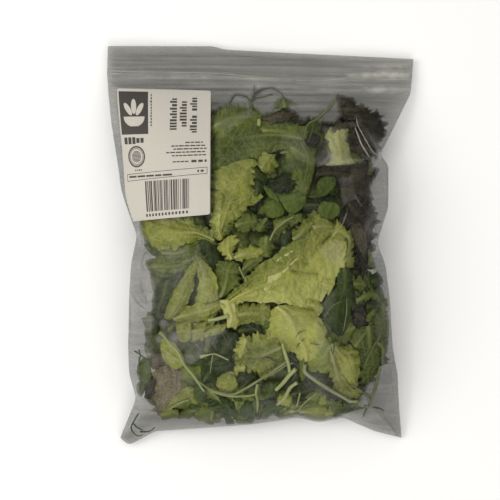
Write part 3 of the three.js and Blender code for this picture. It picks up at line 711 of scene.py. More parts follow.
# Dark smooth leaves
# Young kale and spinach leaves, deep green, most of them nearly flat with a fine pale midrib.
dark = Leaves()
SMOOTH_EDGE = dict(frill=(1.2, 20, 0.6), teeth=(0.2, 5), pleats=(1.5, 0.8))
WHOLE_BELLY = ((-50, -96), (60, 78))
scatter(dark, 20, WHOLE_BELLY, (3.5, 9), (24, 42), (0.4, 0.6), (0.2, 0.5), step=1.6, **SMOOTH_EDGE)
scatter(dark, 14, WHOLE_BELLY, (10, 34), (26, 44), (0.4, 0.6), (0.2, 0.55), step=2.2, **SMOOTH_EDGE)
lay_all(dark, [
    ([(61, -15), (62, -26), (60, -40), (58, -50), (54, -61)],
     [(48, -15), (48, -26), (43, -34), (40, -44), (43, -56)], 0.8, 0.42, SMOOTH_EDGE),
    ([(64, -26), (70, -25), (74, -30)],
     [(59, -34), (60, -43), (67, -44)], 2.2, 0.3, SOFT),
    ([(70, -36), (75, -34), (79, -39)],
     [(69, -44), (74, -47), (79, -45)], 1, 0.16, SOFT),
    ([(72, -21), (76, -18), (81, -22)],
     [(73, -27), (78, -28), (81, -25)], 1.4, 0.36, SOFT),
    # Near black, set in a dark pocket between the leaves: its darkness is partly painted shade.
    ([(17, -66), (22, -65), (25, -69)],
     [(18, -76), (20, -83), (25, -83)], 2.2, 0.1, SMOOTH_EDGE),
    ([(32, -82), (39, -81), (46, -83)],
     [(33, -90), (39, -95), (47, -94)], 2.2, 0.22, SMOOTH_EDGE),
    ([(-16, -94), (-14, -86), (-9, -82)],
     [(-10, -96), (-4, -93), (2, -88)], 0.6, 0.2, SMOOTH_EDGE),
    ([(-37, -77), (-31, -66), (-24, -57), (-16, -55)],
     [(-32, -80), (-23, -77), (-16, -71), (-14, -61)], 1.8, 0.24, FRILLED),
    ([(-40, -84), (-38, -77), (-31, -73), (-19, -75)],
     [(-36, -97), (-29, -92), (-21, -85), (-16, -80)], 1.6, 0.34, SOFT),
    # Near black and set deep in the shadow under the leaf above: its darkness is painted shade.
    ([(-15, -53), (-8, -51), (1, -51)],
     [(-14, -59), (-7, -59), (1, -58)], 3, 0.08, SMOOTH_EDGE),
    ([(19, -93), (23, -88), (33, -88)],
     [(19, -104), (29, -106), (38, -101)], 1.4, 0.32, FRILLED),
    ([(38, -92), (46, -96), (51, -100)],
     [(38, -100), (45, -104), (51, -108)], 1.6, 0.2, SMOOTH_EDGE),
    ([(24, -83), (26, -86), (21, -94)],
     [(21, -83), (16, -90), (10, -97)], 1.2, 0.06, SMOOTH_EDGE),
    ([(2, -102), (6, -101), (10, -102)],
     [(2, -105), (6, -106), (10, -105)], 0.6, 0.08, SMOOTH_EDGE),
    ([(2, -100), (1, -96), (4, -90), (11, -88)],
     [(5, -101), (10, -100), (13, -94), (16, -90)], 1.2, 0.55, SMOOTH_EDGE),
    ([(-68, -16), (-60, -14), (-50, -15)],
     [(-66, -24), (-58, -26), (-50, -23)], 2.6, 0.36, SOFT),
    ([(-52, -20), (-56, -30), (-61, -39), (-65, -48), (-66, -57)],
     [(-70, -26), (-71, -35), (-71, -44), (-71, -53), (-70, -60)], 1.8, 0.36, SMOOTH_EDGE),
    ([(-43, -11), (-41, -10), (-39, -15)],
     [(-44, -24), (-42, -35), (-39, -26)], 2, 0.16, PLAIN),
    ([(-6, 32), (-7, 38), (-4, 43)],
     [(0, 32), (3, 36), (1, 42)], 1.4, 0.42, SMOOTH_EDGE),
    ([(-8, 32), (1, 39), (14, 46), (24, 48)],
     [(-7, 20), (4, 26), (16, 34), (26, 38)], 6, 0.14, SOFT),
    ([(-4, 19), (4, 20), (10, 20)],
     [(-4, 9), (4, 7), (12, 11)], 4, 0.14, SOFT),
    ([(27, 30), (34, 32), (46, 32), (55, 30)],
     [(27, 22), (35, 20), (46, 18), (55, 19)], 4, 0.16, SOFT),
    ([(-50, -66), (-44, -65), (-37, -67)],
     [(-49, -80), (-43, -82), (-38, -80)], 5, 0.4, SOFT),
    ([(-35, -105), (-30, -101), (-21, -100)],
     [(-33, -110), (-27, -112), (-20, -108)], 0.5, 0.42, SMOOTH_EDGE),
    ([(-23, -101), (-19, -101), (-16, -108)],
     [(-24, -109), (-21, -114), (-16, -112)], 0.5, 0.45, SMOOTH_EDGE),
    ([(0, -112), (2, -106), (10, -104), (16, -106)],
     [(1, -116), (6, -114), (13, -110), (17, -108)], 0.5, 0.62, SMOOTH_EDGE),
    ([(49, -114), (54, -110), (59, -105)],
     [(50, -115), (56, -112), (61, -109)], 0.4, 0.45, SMOOTH_EDGE),
])
dark_leaves = dark.make("dark_green_leaves", leaf_material(
    "dark_green_skin", deep="152009", light="566c22", vein="707e3c", rim="475a1d", rim_share=0.3, shine=0.38,
    through_light="607422", net_share=0.06))

# Pea shoot leaves
# The shoots' oval leaflets are thin, smooth and mid green, and stand in pairs on their stems.
pea = Leaves()
LEAFLET = dict(frill=(0.5, 16, 0.2), teeth=(0.0, 5), rib=(0.5, 0.15), pleats=(1.5, 0.5), sway=0.8)
scatter(pea, 40, ((-56, -104), (64, 84)), (2.5, 14), (12, 22), (0.5, 0.75), (0.3, 0.6), step=1.3, **LEAFLET)
lay_all(pea, [
    ([(13, 29), (9, 34), (5, 38), (2, 39)],
     [(10, 27), (6, 30), (4, 33), (2, 37)], 0.8, 0.6, LEAFLET),
    ([(5, 17), (2, 22), (2, 26), (6, 30)],
     [(12, 18), (15, 20), (14, 26), (10, 29)], 0.3, 0.6, LEAFLET),
    ([(14, 27), (12, 31), (18, 33), (24, 34), (29, 32)],
     [(17, 21), (21, 20), (26, 23), (29, 27), (30, 30)], 0.3, 0.62, LEAFLET),
    ([(31, 32), (36, 34), (37, 40), (40, 44), (47, 45)],
     [(33, 30), (39, 31), (45, 34), (49, 39), (49, 44)], 0.6, 0.44, LEAFLET),
    ([(39, 18), (37, 23), (40, 28), (45, 28)],
     [(46, 16), (51, 20), (52, 24), (49, 28)], 1.2, 0.62, LEAFLET),
    ([(-80, -77), (-76, -74), (-72, -80), (-72, -88)],
     [(-82, -82), (-80, -90), (-74, -92)], 0.6, 0.4, LEAFLET),
    ([(-80, -90), (-76, -92), (-78, -100)],
     [(-82, -92), (-82, -97), (-80, -101)], 0.6, 0.3, LEAFLET),
    ([(76, -30), (79, -27), (82, -34)],
     [(75, -38), (78, -40), (82, -39)], 3, 0.4, LEAFLET),
    ([(-44, -98), (-43, -93), (-39, -91)],
     [(-41, -103), (-36, -102), (-36, -96)], 0.4, 0.36, LEAFLET),
    ([(-5, -106), (-5, -102), (-2, -101)],
     [(-2, -108), (1, -106), (0, -102)], 0.4, 0.5, LEAFLET),
])
pea_leaves = pea.make("pea_shoot_leaves", leaf_material(
    "pea_shoot_skin", deep="22330d", light="758538", vein="818d4a", rim="5f712c", rim_share=0.2, shine=0.4,
    net_share=0.05))

# Cress leaves
# Small smooth leaves of cress near the foot, oval and dark green.
cress = Leaves()
OVAL = [(-0.5, 0.1), (-0.3, 0.5), (0, 0.95), (0.3, 0.95), (0.5, 0.25)]  # along the leaf, and out to its rim
for x, y, turn, length, wide in [  # the middle, the way it points in degrees, and the size
    (-43, -107, 184, 9, 3.6), (-9, -109, -95, 12, 9.2), (-21, -116, -60, 10, 5.9),
    (-31, -105, 10, 7, 4.6), (-25, -107, -30, 8, 5.3), (-19, -110, -70, 8, 5.9), (-35, -94, 70, 7, 4.0),
    (-2, -114, -60, 5, 3.3), (-7, -116, 10, 6, 2.6), (-15, -101, 150, 7, 4.0), (-39, -100, -100, 6, 4.6),
    (26, -111, 5, 9, 4.0), (-13, -88, 40, 7, 4.0), (-32, -84, 80, 6, 4.0),
]:
    ahead = np.array([math.cos(math.radians(turn)), math.sin(math.radians(turn))])
    aside = np.array([-ahead[1], ahead[0]]) * wide / 2
    left, right = ([(x, y) + ahead * length * f + aside * w * side for f, w in OVAL] for side in (1, -1))
    lay_leaf(cress, left, right, [0.5, 0.4, 0.8], tone=random.uniform(0.25, 0.6), falls=(0.8, 0.8), **LEAFLET)
cress_leaves = cress.make("cress_leaves", leaf_material(
    "cress_skin", deep="18290f", light="4e6624", vein="778648", rim="4e6624", rim_share=0.2, shine=0.32,
    net_share=0.04))

# Stems and tendrils
# Pea stems, their thin curling tendrils, and cut leaf stalks. Each is a round stalk that tapers along its way
# and lies just under the film or between the leaves.
stalk_lines = []
under_film = np.zeros(front_film.shape, bool)  # where a stalk lies against the film


def in_steps(way, step, fewest):
    """Equally spaced points about a step apart along a way in mm, and how far along each is from 0 to 1."""
    count = max(fewest, int(np.hypot(*np.diff(np.array(way), axis=0).T).sum() / step))
    return even_places(way, count), np.linspace(0, 1, count)


def lay_stalk(way, radii, depth, tone, room=2.0):
    """Notes one stalk along points in mm, with its radius and its depth under the film at equal steps."""
    line, t = in_steps(way, 1.1, 8)
    x, y = into_pouch(line[:, 0], line[:, 1], room)
    radius = through(radii, t)
    z = height_at(x, y, through(depth, t) + radius)
    stalk_lines.append((np.stack([x, y, z], 1), radius, tone))
    under_film[cells_at(x, y)] = True


for way, radii, tone in [  # pea stems and cut stalks
    ([(-66, -57), (-63, -60), (-59, -65), (-54, -70), (-50, -78), (-45, -84), (-41, -90), (-37, -96)],
     [1.3, 0.8, 0.9, 1.0, 0.7], 0.85),
    ([(-41, -89), (-34, -94), (-26, -97), (-18, -98), (-10, -94), (-2, -89), (6, -84), (13, -79),
      (17, -76)], [0.5, 0.7, 0.9, 0.8, 0.6], 0.5),
    ([(-32, -96), (-21, -99), (-10, -99), (-3, -98)], [0.6, 0.8, 0.6], 0.8),
    ([(-2, -91), (-3, -97), (-2, -102), (-2, -110)], [0.9, 0.9, 0.5], 0.8),
    ([(14, -64), (16, -71), (18, -77), (19, -83)], [1.0, 1.2, 1.1], 1.0),
    ([(23, -81), (19, -85), (15, -90), (10, -95)], [1.4, 1.4, 1.2], 1.15),
    ([(24, -90), (19, -94), (16, -100), (11, -105)], [1.2, 1.2, 1.0], 1.1),
    ([(29, -78), (29, -83), (35, -88), (41, -92), (47, -96), (54, -100), (59, -103), (64, -103)],
     [1.2, 1.2, 1.2, 1.0], 0.65),
    ([(79, -80), (77, -88), (75, -96), (73, -101), (72, -106)], [1.0, 1.0, 0.8], 0.35),
    ([(60, -92), (66, -96), (70, -98), (72, -102), (72, -106)], [0.5, 0.5, 0.5], 0.3),
    ([(79, -59), (74, -67), (70, -75), (68, -80)], [0.3, 0.4, 0.3], 0.35),
    ([(50, 97), (45, 90), (41, 86), (36, 82), (31, 79), (29, 73), (28, 66)],
     [0.9, 0.9, 0.6, 0.3, 0.25], 0.45),
    ([(25, 32), (28, 40), (30, 48), (31, 56), (28, 64), (25, 69)], [0.4, 0.4, 0.3], 0.25),
    ([(6, 3), (9, 9), (13, 13), (17, 16), (21, 18)], [0.6, 0.8, 0.5], 0.6),
    ([(-34, -49), (-28, -48), (-21, -46)], [1.1, 1.2, 1.3], 1.2),
    ([(-39, -73), (-36, -72), (-30, -71), (-25, -73), (-21, -75)], [1.2, 0.5, 0.6, 0.5], 0.9),
    ([(-31, -71), (-32, -77), (-33, -84)], [0.35, 0.35, 0.3], 0.6),
    ([(-14, -14), (-12, -19), (-9, -24)], [0.4, 0.4, 0.4], 0.8),
    ([(-7, -75), (-2, -73), (5, -74), (11, -77)], [0.5, 0.6, 0.5], 0.2),
    ([(3, -87), (10, -83), (16, -79), (21, -77)], [0.4, 0.4, 0.4], 0.5),
    ([(-1, 82), (-1, 78)], [1.2, 1.2], 1.1),
    ([(26, -97), (24, -106)], [0.6, 0.5], 0.8),
    ([(37, -97), (29, -104), (25, -109)], [0.6, 0.6, 0.5], 0.7),
    ([(56, -35), (56, -44), (54, -56)], [0.25, 0.35, 0.25], 0.45),
    ([(-60, -108), (-53, -104), (-47, -102)], [0.6, 0.6, 0.5], 0.7),
    ([(1, -104), (0, -108), (-1, -113)], [0.6, 0.6, 0.5], 0.1),
]:
    lay_stalk(way, radii, [0.4, 0.2, 0.5], tone)
lay_stalk([(-6, 87), (-6, 94)], [0.8, 0.7], [0.3, 0.1], 0.2, 0.6)
for way in [  # tendrils
    [(-6, 94), (-9, 98), (-13, 99), (-17, 99), (-19, 96), (-20, 93), (-18, 90), (-16, 89)],
    [(-6, 94), (-5, 98), (-4, 102), (-4, 106)],
    [(-6, 94), (-4, 98), (0, 102), (4, 104), (9, 104), (14, 100), (16, 97)],
    [(-6, 94), (-3, 97), (2, 98), (8, 100)],
    [(-6, 95), (-4, 100), (1, 104), (5, 104)],
    [(-83, -70), (-81, -71), (-78, -73), (-74, -75)],
    [(-80, -69), (-79, -73)],
    [(-79, -73), (-80, -76), (-80, -79)],
    [(-81, -112), (-84, -117), (-86, -122), (-82, -127), (-78, -126)],
    [(-80, -124), (-74, -124), (-70, -121)],
    [(-85, -118), (-82, -121), (-78, -123)],
    [(72, -106), (66, -108), (60, -110), (56, -112)],
    [(70, -108), (68, -114)],
    [(74, -107), (79, -108), (82, -110)],
    [(72, -106), (68, -106)],
    [(64, -106), (59, -110), (52, -113), (48, -114)],
    [(24, 78), (28, 69), (32, 59)],
    [(35, 78), (31, 67)],
    [(41, -50), (45, -55), (48, -64), (47, -71)],
    [(45, -56), (52, -61), (58, -67)],
]:
    lay_stalk(way, [0.6, 0.55, 0.45, 0.35], [0.1, 0, 0.1], 0.05, 0.6)
for way in [[(23, -60), (25, -57), (30, -55)], [(23, -68), (25, -64), (29, -61)], [(32, -64), (39, -65)]]:
    lay_stalk(way, [0.15, 0.35, 0.15], [0.1, 0, 0.1], 0.1, 0.6)


def new_tree(name, **sockets):
    """A geometry node tree with one geometry in and out, and with named inputs of the given kinds."""
    tree = bpy.data.node_groups.new(name, "GeometryNodeTree")
    tree.interface.new_socket("Geometry", in_out="INPUT", socket_type="NodeSocketGeometry")
    for label, kind in sockets.items():
        tree.interface.new_socket(label, in_out="INPUT", socket_type="NodeSocket" + kind)
    tree.interface.new_socket("Geometry", in_out="OUTPUT", socket_type="NodeSocketGeometry")
    return tree


def grow(name, mesh, tree, **values):
    """The object that a node tree makes of a mesh, as one plain mesh with no modifier left on it."""
    piece = put_in_scene(name, mesh)
    modifier = piece.modifiers.new("grow", "NODES")
    modifier.node_group = tree
    for socket in tree.interface.items_tree:
        if socket.in_out == "INPUT" and socket.name in values:
            modifier[socket.identifier] = values[socket.name]
    made = bpy.data.meshes.new_from_object(piece.evaluated_get(bpy.context.evaluated_depsgraph_get()))
    piece.modifiers.clear()
    piece.data = made
    made.name = name
    return piece


def line_mesh(name, lines):
    """Open chains of points, with the radius and the tone of each chain as attributes."""
    mesh = bpy.data.meshes.new(name)
    ways, radii, tones = zip(*lines)
    starts = np.cumsum([0] + [len(way) for way in ways])
    links = [(k, k + 1) for start, end in zip(starts, starts[1:]) for k in range(start, end - 1)]
    mesh.from_pydata((np.concatenate(ways) * MM).tolist(), links, [])
    keep_marks(mesh, thick=np.concatenate(radii) * MM, tone=np.repeat(tones, [len(way) for way in ways]))
    return mesh


def sweep_tree():
    """Sweeps a round section along every chain of points."""
    tree = new_tree("round_sweep", Sides="Int", Skin="Material")
    given = add(tree, "NodeGroupInput").outputs
    thick = add(tree, "GeometryNodeInputNamedAttribute", {"Name": "thick"}, data_type="FLOAT").outputs[0]
    line = add(tree, "GeometryNodeMeshToCurve", {"Mesh": given["Geometry"]})
    ring = add(tree, "GeometryNodeCurvePrimitiveCircle", {"Resolution": given["Sides"], "Radius": 1.0})
    tube = add(tree, "GeometryNodeCurveToMesh", {"Curve": line.outputs[0], "Profile Curve": ring.outputs[0],
                                                 "Scale": thick, "Fill Caps": True})
    whole = add(tree, "GeometryNodeRealizeInstances", {"Geometry": tube.outputs[0]})
    skinned = add(tree, "GeometryNodeSetMaterial", {"Geometry": whole.outputs[0], "Material": given["Skin"]})
    add(tree, "NodeGroupOutput", {"Geometry": skinned.outputs[0]})
    return tree


def stalk_material():
    """Juicy green stalks, paler where their tone is higher, and faintly streaked."""
    skin = Surface("stalk_skin")
    shade = skin.sums("MULTIPLY_ADD", skin.noise(260.0, 3.0), 0.5, skin.mark("tone"))
    colour = skin.blend(skin.sums("SUBTRACT", shade, 0.25), paint("2f3d1a"), paint("9ca36c"))
    face = skin.shader("Principled", {"Base Color": colour, "Roughness": 0.42})
    return skin.done(skin.over(0.15, face, skin.shader("Translucent", {"Color": colour})))


sweep = sweep_tree()
stalk_pieces = grow("stems_and_tendrils", line_mesh("stalks", stalk_lines), sweep, Sides=8,
                    Skin=stalk_material())
stalk_pieces.data.shade_smooth()

for piece in (batavia_leaves, green_leaves, lollo_leaves, dark_leaves, pea_leaves, cress_leaves,
              stalk_pieces):
    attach(piece, "root")
    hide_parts("bag")

# The film
# Clear polythene, 0.05 mm thick. It lies on the leaves, creases where the load draws it in, and looks milky
# where it stands clear of what is behind it. Painted glare, laid on as more of the same milky haze, lies on
# some of its facets and along the tops of its creases.
FILM_CREASES = [  # from, to, height and half width of each crease
    ((62, 84), (79, 58), 1.0, 1.6), ((61, 78), (74, 57), 0.9, 1.3), ((34, 52), (73, 57), 1.0, 1.6),
    ((47, 76), (35, 55), 0.8, 1.8), ((52, 13), (58, 27), 0.6, 1.2), ((-77, -12), (-43, -6), 0.7, 1.4),
    ((-42, -6), (-26, 4), 0.7, 1.2), ((-42, -8), (-58, -40), 0.5, 1.4), ((-27, -59), (-40, -78), 0.8, 1.4),
    ((28, -81), (60, -103), 1.0, 1.4), ((37, -50), (48, -70), 0.7, 1.4), ((-84, -30), (-73, -42), 0.8, 1.4),
    ((-79, -10), (-73, -42), 0.7, 1.6), ((-71, -38), (-70, -72), 0.6, 1.6), ((-30, 53), (-29, 5), 0.5, 1.2),
    ((72, -105), (92, -127), 1.0, 1.6), ((-84, -102), (-91, -127), 1.0, 1.6), ((79, 59), (66, 44), 0.8, 1.4),
    ((78, 58), (60, 66), 0.8, 1.4), ((-81, 6), (-64, 2), 0.9, 1.4), ((-81, 7), (-66, 14), 0.8, 1.4),
    ((77, 2), (66, 12), 0.8, 1.4), ((77, 0), (68, -14), 0.8, 1.4), ((54, -113), (60, -96), 0.8, 1.4),
    ((26, -113), (22, -98), 0.7, 1.4), ((-83, -100), (-70, -96), 0.7, 1.4), ((80, -66), (78, -96), 0.6, 1.6),
    ((-100, 110), (29, 104), 1.0, 1.5), ((29, 104), (53, 100.5), 1.0, 1.5),
    ((53, 100.5), (92, 101), 1.0, 1.5),
]
PAINTED_GLARE_FACETS = [  # facets with painted glare, as milky haze: how much, how soft at the rim, and the corners
    (0.17, 5, [(41, 77), (56, 77), (60, 52), (45, 51)]),
    (0.1, 2, [(46, 60), (58, 58), (70, 54), (36, 51)]),
    (0.07, 1.5, [(33, 53), (41, 63), (46, 63), (46, 52)]),
    (0.07, 1.5, [(37, -5), (41, 1), (46, 3), (54, 5), (55, -15), (49, -20), (43, -11), (38, -9)]),
    (0.1, 2, [(-60, -56), (-25, -54), (-16, -57), (-35, -71), (-43, -80), (-52, -77), (-61, -66)]),
    (0.05, 3, [(-76, -63), (-61, -66), (-52, -77), (-43, -88), (-47, -102), (-66, -110), (-81, -104),
               (-78, -80)]),
    (0.05, 1.5, [(-70, 0), (-40, -3), (-25, -34), (-40, -51), (-63, -59), (-73, -30)]),
    (0.05, 1.5, [(41, -24), (49, -31), (47, -53), (39, -66), (33, -51)]),
    (0.05, 1.5, [(50, 43), (60, 46), (63, 30), (54, 26)]),
    (0.07, 2, [(-30, 79), (-7, 90), (-2, 87), (-25, 71)]),
    (0.04, 2, [(12, 73), (26, 73), (32, 59), (26, 46), (14, 53)]),
    (0.05, 2, [(26, -66), (46, -63), (56, -82), (53, -106), (29, -102)]),
    (0.12, 1.5, [(-86, -32), (-80, -40), (-83, -51), (-86, -51)]),
    (0.05, 3, [(-74, -18), (-66, -22), (-70, -36), (-73, -42), (-76, -30)]),
    (0.14, 2, [(64, -101), (71, -103), (73, -108), (64, -107)]),
    (0.24, 4, [(52, 120), (76, 121), (100, 121), (100, 117), (72, 117)]),
    (0.38, 4, [(56, 114), (79, 116), (100, 116), (100, 110), (79, 110), (59, 111)]),
    (0.22, 4, [(66, 106), (100, 106), (100, 102), (89, 100), (72, 101)]),
    (0.14, 3, [(-101, 114), (-40, 114), (26, 110), (56, 107), (26, 106), (-40, 109), (-101, 110)]),
    (0.12, 3, [(-60, 108), (-14, 108), (26, 106), (56, 103), (26, 102), (-27, 104)]),
    (0.05, 3, [(-101, 125), (-53, 125), (-47, 122), (-101, 121)]),
    (0.06, 3, [(-101, 106), (-95, 106), (-95, 79), (-100, 82)]),
]
CRUMPLES = ((0.055, 0.045, 0.05), 1.2, 0.4)  # how many for each mm, their middle value, and their height
FEW_DEGREES, SHARP_DEGREES = 40, 50  # what counts as nearly flat, and as a sharp edge of the pouch
TOUCHING = 0.05  # how far the film counts as standing off where it lies on leaves
HEADER_FOOT = 104


def named_creases(points):
    """How far the film stands out at points in mm, by its creases."""
    x, y = points[:, 0], points[:, 1]
    total = np.zeros(len(points))
    for start, end, height, reach in FILM_CREASES:
        dx, dy = end[0] - start[0], end[1] - start[1]
        length = math.hypot(dx, dy)
        run = ((x - start[0]) * dx + (y - start[1]) * dy) / length
        off = ((x - start[0]) * dy - (y - start[1]) * dx) / length
        fade = smooth((run + reach) / (3 * reach)) * smooth((length - run + reach) / (3 * reach))
        total += height * fade * np.exp(-np.abs(off / reach) ** 1.3)
    return total


def crumpled(points):
    """How far the film stands out at points in mm, by fine crumples."""
    pitch, middle, height = CRUMPLES
    crumple = [noise.ridged_multi_fractal(place, 0.9, 2.1, 3, 1.0, 2.0) for place in points * pitch]
    return height * (np.array(crumple) - middle)


def sheen_at(points):
    """The painted glare on the film's facets at points in mm. A facet has no corner that points inwards."""
    total = np.zeros(len(points))
    for strength, soft, corners in PAINTED_GLARE_FACETS:
        corners = np.array(corners, float)
        after = np.roll(corners, -1, axis=0)
        side = after - corners
        turn = np.sign((corners[:, 0] * after[:, 1] - after[:, 0] * corners[:, 1]).sum())
        away = [((points[:, 1] - c[1]) * d[0] - (points[:, 0] - c[0]) * d[1]) * turn / np.hypot(*d)
                for c, d in zip(corners, side)]
        total += strength * smooth(np.min(away, axis=0) / soft + 0.33)
    return total


def film_mesh():
    """The pouch's own mesh, merged and drawn more finely."""
    bm = bmesh.new()
    bm.from_mesh(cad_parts["bag"].data)
    bmesh.ops.remove_doubles(bm, verts=bm.verts, dist=1e-6)
    bmesh.ops.join_triangles(bm, faces=bm.faces, angle_face_threshold=math.radians(FEW_DEGREES),
                             angle_shape_threshold=math.radians(SHARP_DEGREES))
    crease = bm.edges.layers.float.new("crease_edge")
    for edge in bm.edges:
        if len(edge.link_faces) == 2 and edge.calc_face_angle() > math.radians(SHARP_DEGREES):
            edge[crease] = 0.9
    mesh = bpy.data.meshes.new("film")
    bm.to_mesh(mesh)
    bm.free()
    piece = put_in_scene("film", mesh)
    finer = piece.modifiers.new("finer", "SUBSURF")
    finer.levels = finer.render_levels = 2
    made = bpy.data.meshes.new_from_object(piece.evaluated_get(bpy.context.evaluated_depsgraph_get()))
    bpy.data.objects.remove(piece)
    return made


def around(grid, pick, times):
    """A room grid in which each cell takes the highest or the lowest of itself and its neighbours."""
    for _ in range(times):
        grid = pick.reduce([np.roll(grid, shift, axis) for axis in (0, 1) for shift in (-1, 0, 1)])
    return grid


def stand_off(clearance, there):
    """From 0 where the film touches leaves to 1 where it has none behind it. Small gaps count as leaf."""
    closed = around(around(there, np.maximum, 1), np.minimum, 3) > 0
    grid = np.where(closed, np.clip(around(clearance, np.minimum, 2) / 90, 0, TOUCHING), 1.0)
    return (2 * grid + sum(np.roll(grid, shift, axis) for axis in (0, 1) for shift in (-1, 1))) / 6


def read_points(mesh, what="co"):
    """What a mesh holds for each of its points, by rows of three."""
    values = np.zeros(len(mesh.vertices) * 3)
    mesh.vertices.foreach_get(what, values)
    return values.reshape(-1, 3)


film = put_in_scene("film", film_mesh())
points, outward = read_points(film.data) / MM, read_points(film.data, "normal")
x, y = points[:, 0].copy(), points[:, 1].copy()
label_low, label_high = (np.array(corner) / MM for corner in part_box("label")[:2])
under_label = (x < label_high[0]) & (y > label_low[1] - 3) & (y < label_high[1] + 2)
header = smooth((y - HEADER_FOOT) / 5)
facing_up = outward[:, 2] > 0
seam = on_grid(front_film, x, y) - on_grid(back_film, x, y)
free = (1 - under_label * facing_up) * np.where(facing_up, 1 - 0.3 * header, 1 - header)
free *= smooth((seam - 0.5) / np.where(header > 0.5, 2, 5)) * smooth(points[:, 2] / 2)
raised = named_creases(points)
# Painted glare: milky haze on the listed facets, and a fainter line of it along the top of each crease.
milky = np.where(facing_up, sheen_at(points) + 0.06 * np.minimum(raised, 1) ** 3, 0)
points += outward * ((raised + crumpled(points)) * free)[:, None]
points[:, 2] = np.maximum(points[:, 2], 0)
film.data.vertices.foreach_set("co", (points * MM).ravel())

over = stand_off(front_film - UNDER_FRONT - kept_tops, (kept_tops > 0).astype(float))
under = stand_off(kept_bottoms - back_film - OVER_BACK, (kept_bottoms < NO_BOTTOM).astype(float))
over[around(under_film, np.maximum, 1)] = TOUCHING
x, y = points[:, 0], points[:, 1]
clear_of = np.where(facing_up, on_grid(over, x, y), on_grid(under, x, y))
keep_marks(film.data, stand_off=np.clip(clear_of, 0, 1), sheen=np.clip(milky, 0, 1))
film.data.shade_smooth()


def film_material():
    """Clear film: tinted where light passes, with a grey haze that grows where it stands off, and a gloss.
    Painted glare is laid on as more of the same milky haze.
    """
    film_skin = Surface("polythene_film")
    stand, sheen = film_skin.mark("stand_off"), film_skin.mark("sheen")
    sums, ramp = film_skin.sums, film_skin.ramp
    drawn = film_skin.node("Mapping", {"Vector": film_skin.place, "Scale": (9.0, 420.0, 9.0)}).outputs[0]
    lines = film_skin.noise(1.0, 4.0, drawn)
    banded = ramp(lines, 0.3, 0.7, 0.4, 1.6)
    haze_and_glare_speckle = ramp(film_skin.noise(45.0, 5.0), 0.3, 0.7, 0.75, 1.25)
    glare_patchiness = ramp(film_skin.noise(110.0, 4.0), 0.35, 0.65, 0.4, 1.6)
    # Painted glare goes on as milky haze in patches, over the haze where the film stands off.
    haze = sums("MULTIPLY_ADD", sheen, glare_patchiness, sums("MULTIPLY", ramp(stand, 0.0, 1.0, 0.0, 0.2), banded))
    haze = sums("MULTIPLY", haze, haze_and_glare_speckle, use_clamp=True)
    normal = film_skin.bump(0.12, 0.0004, lines)
    clear = film_skin.blend(stand, (0.95, 0.955, 0.91, 1), (0.64, 0.645, 0.645, 1))
    milky = film_skin.shader("Principled", {"Base Color": (0.45, 0.445, 0.41, 1), "Roughness": 0.45,
                                            "Specular IOR Level": 0.4, "Normal": normal})
    body = film_skin.over(haze, film_skin.shader("Transparent", {"Color": clear}), milky)
    slant = film_skin.node("LayerWeight", {"Blend": 0.5, "Normal": normal}).outputs["Facing"]
    edge = sums("MULTIPLY_ADD", sums("POWER", slant, 4.0), 0.9, 0.006, use_clamp=True)
    gloss = film_skin.shader("Glossy", {"Roughness": 0.16, "Normal": normal})
    return film_skin.done(film_skin.over(edge, body, gloss))


film.data.materials.clear()
film.data.materials.append(film_material())
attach(film, "root")
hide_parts("bag")
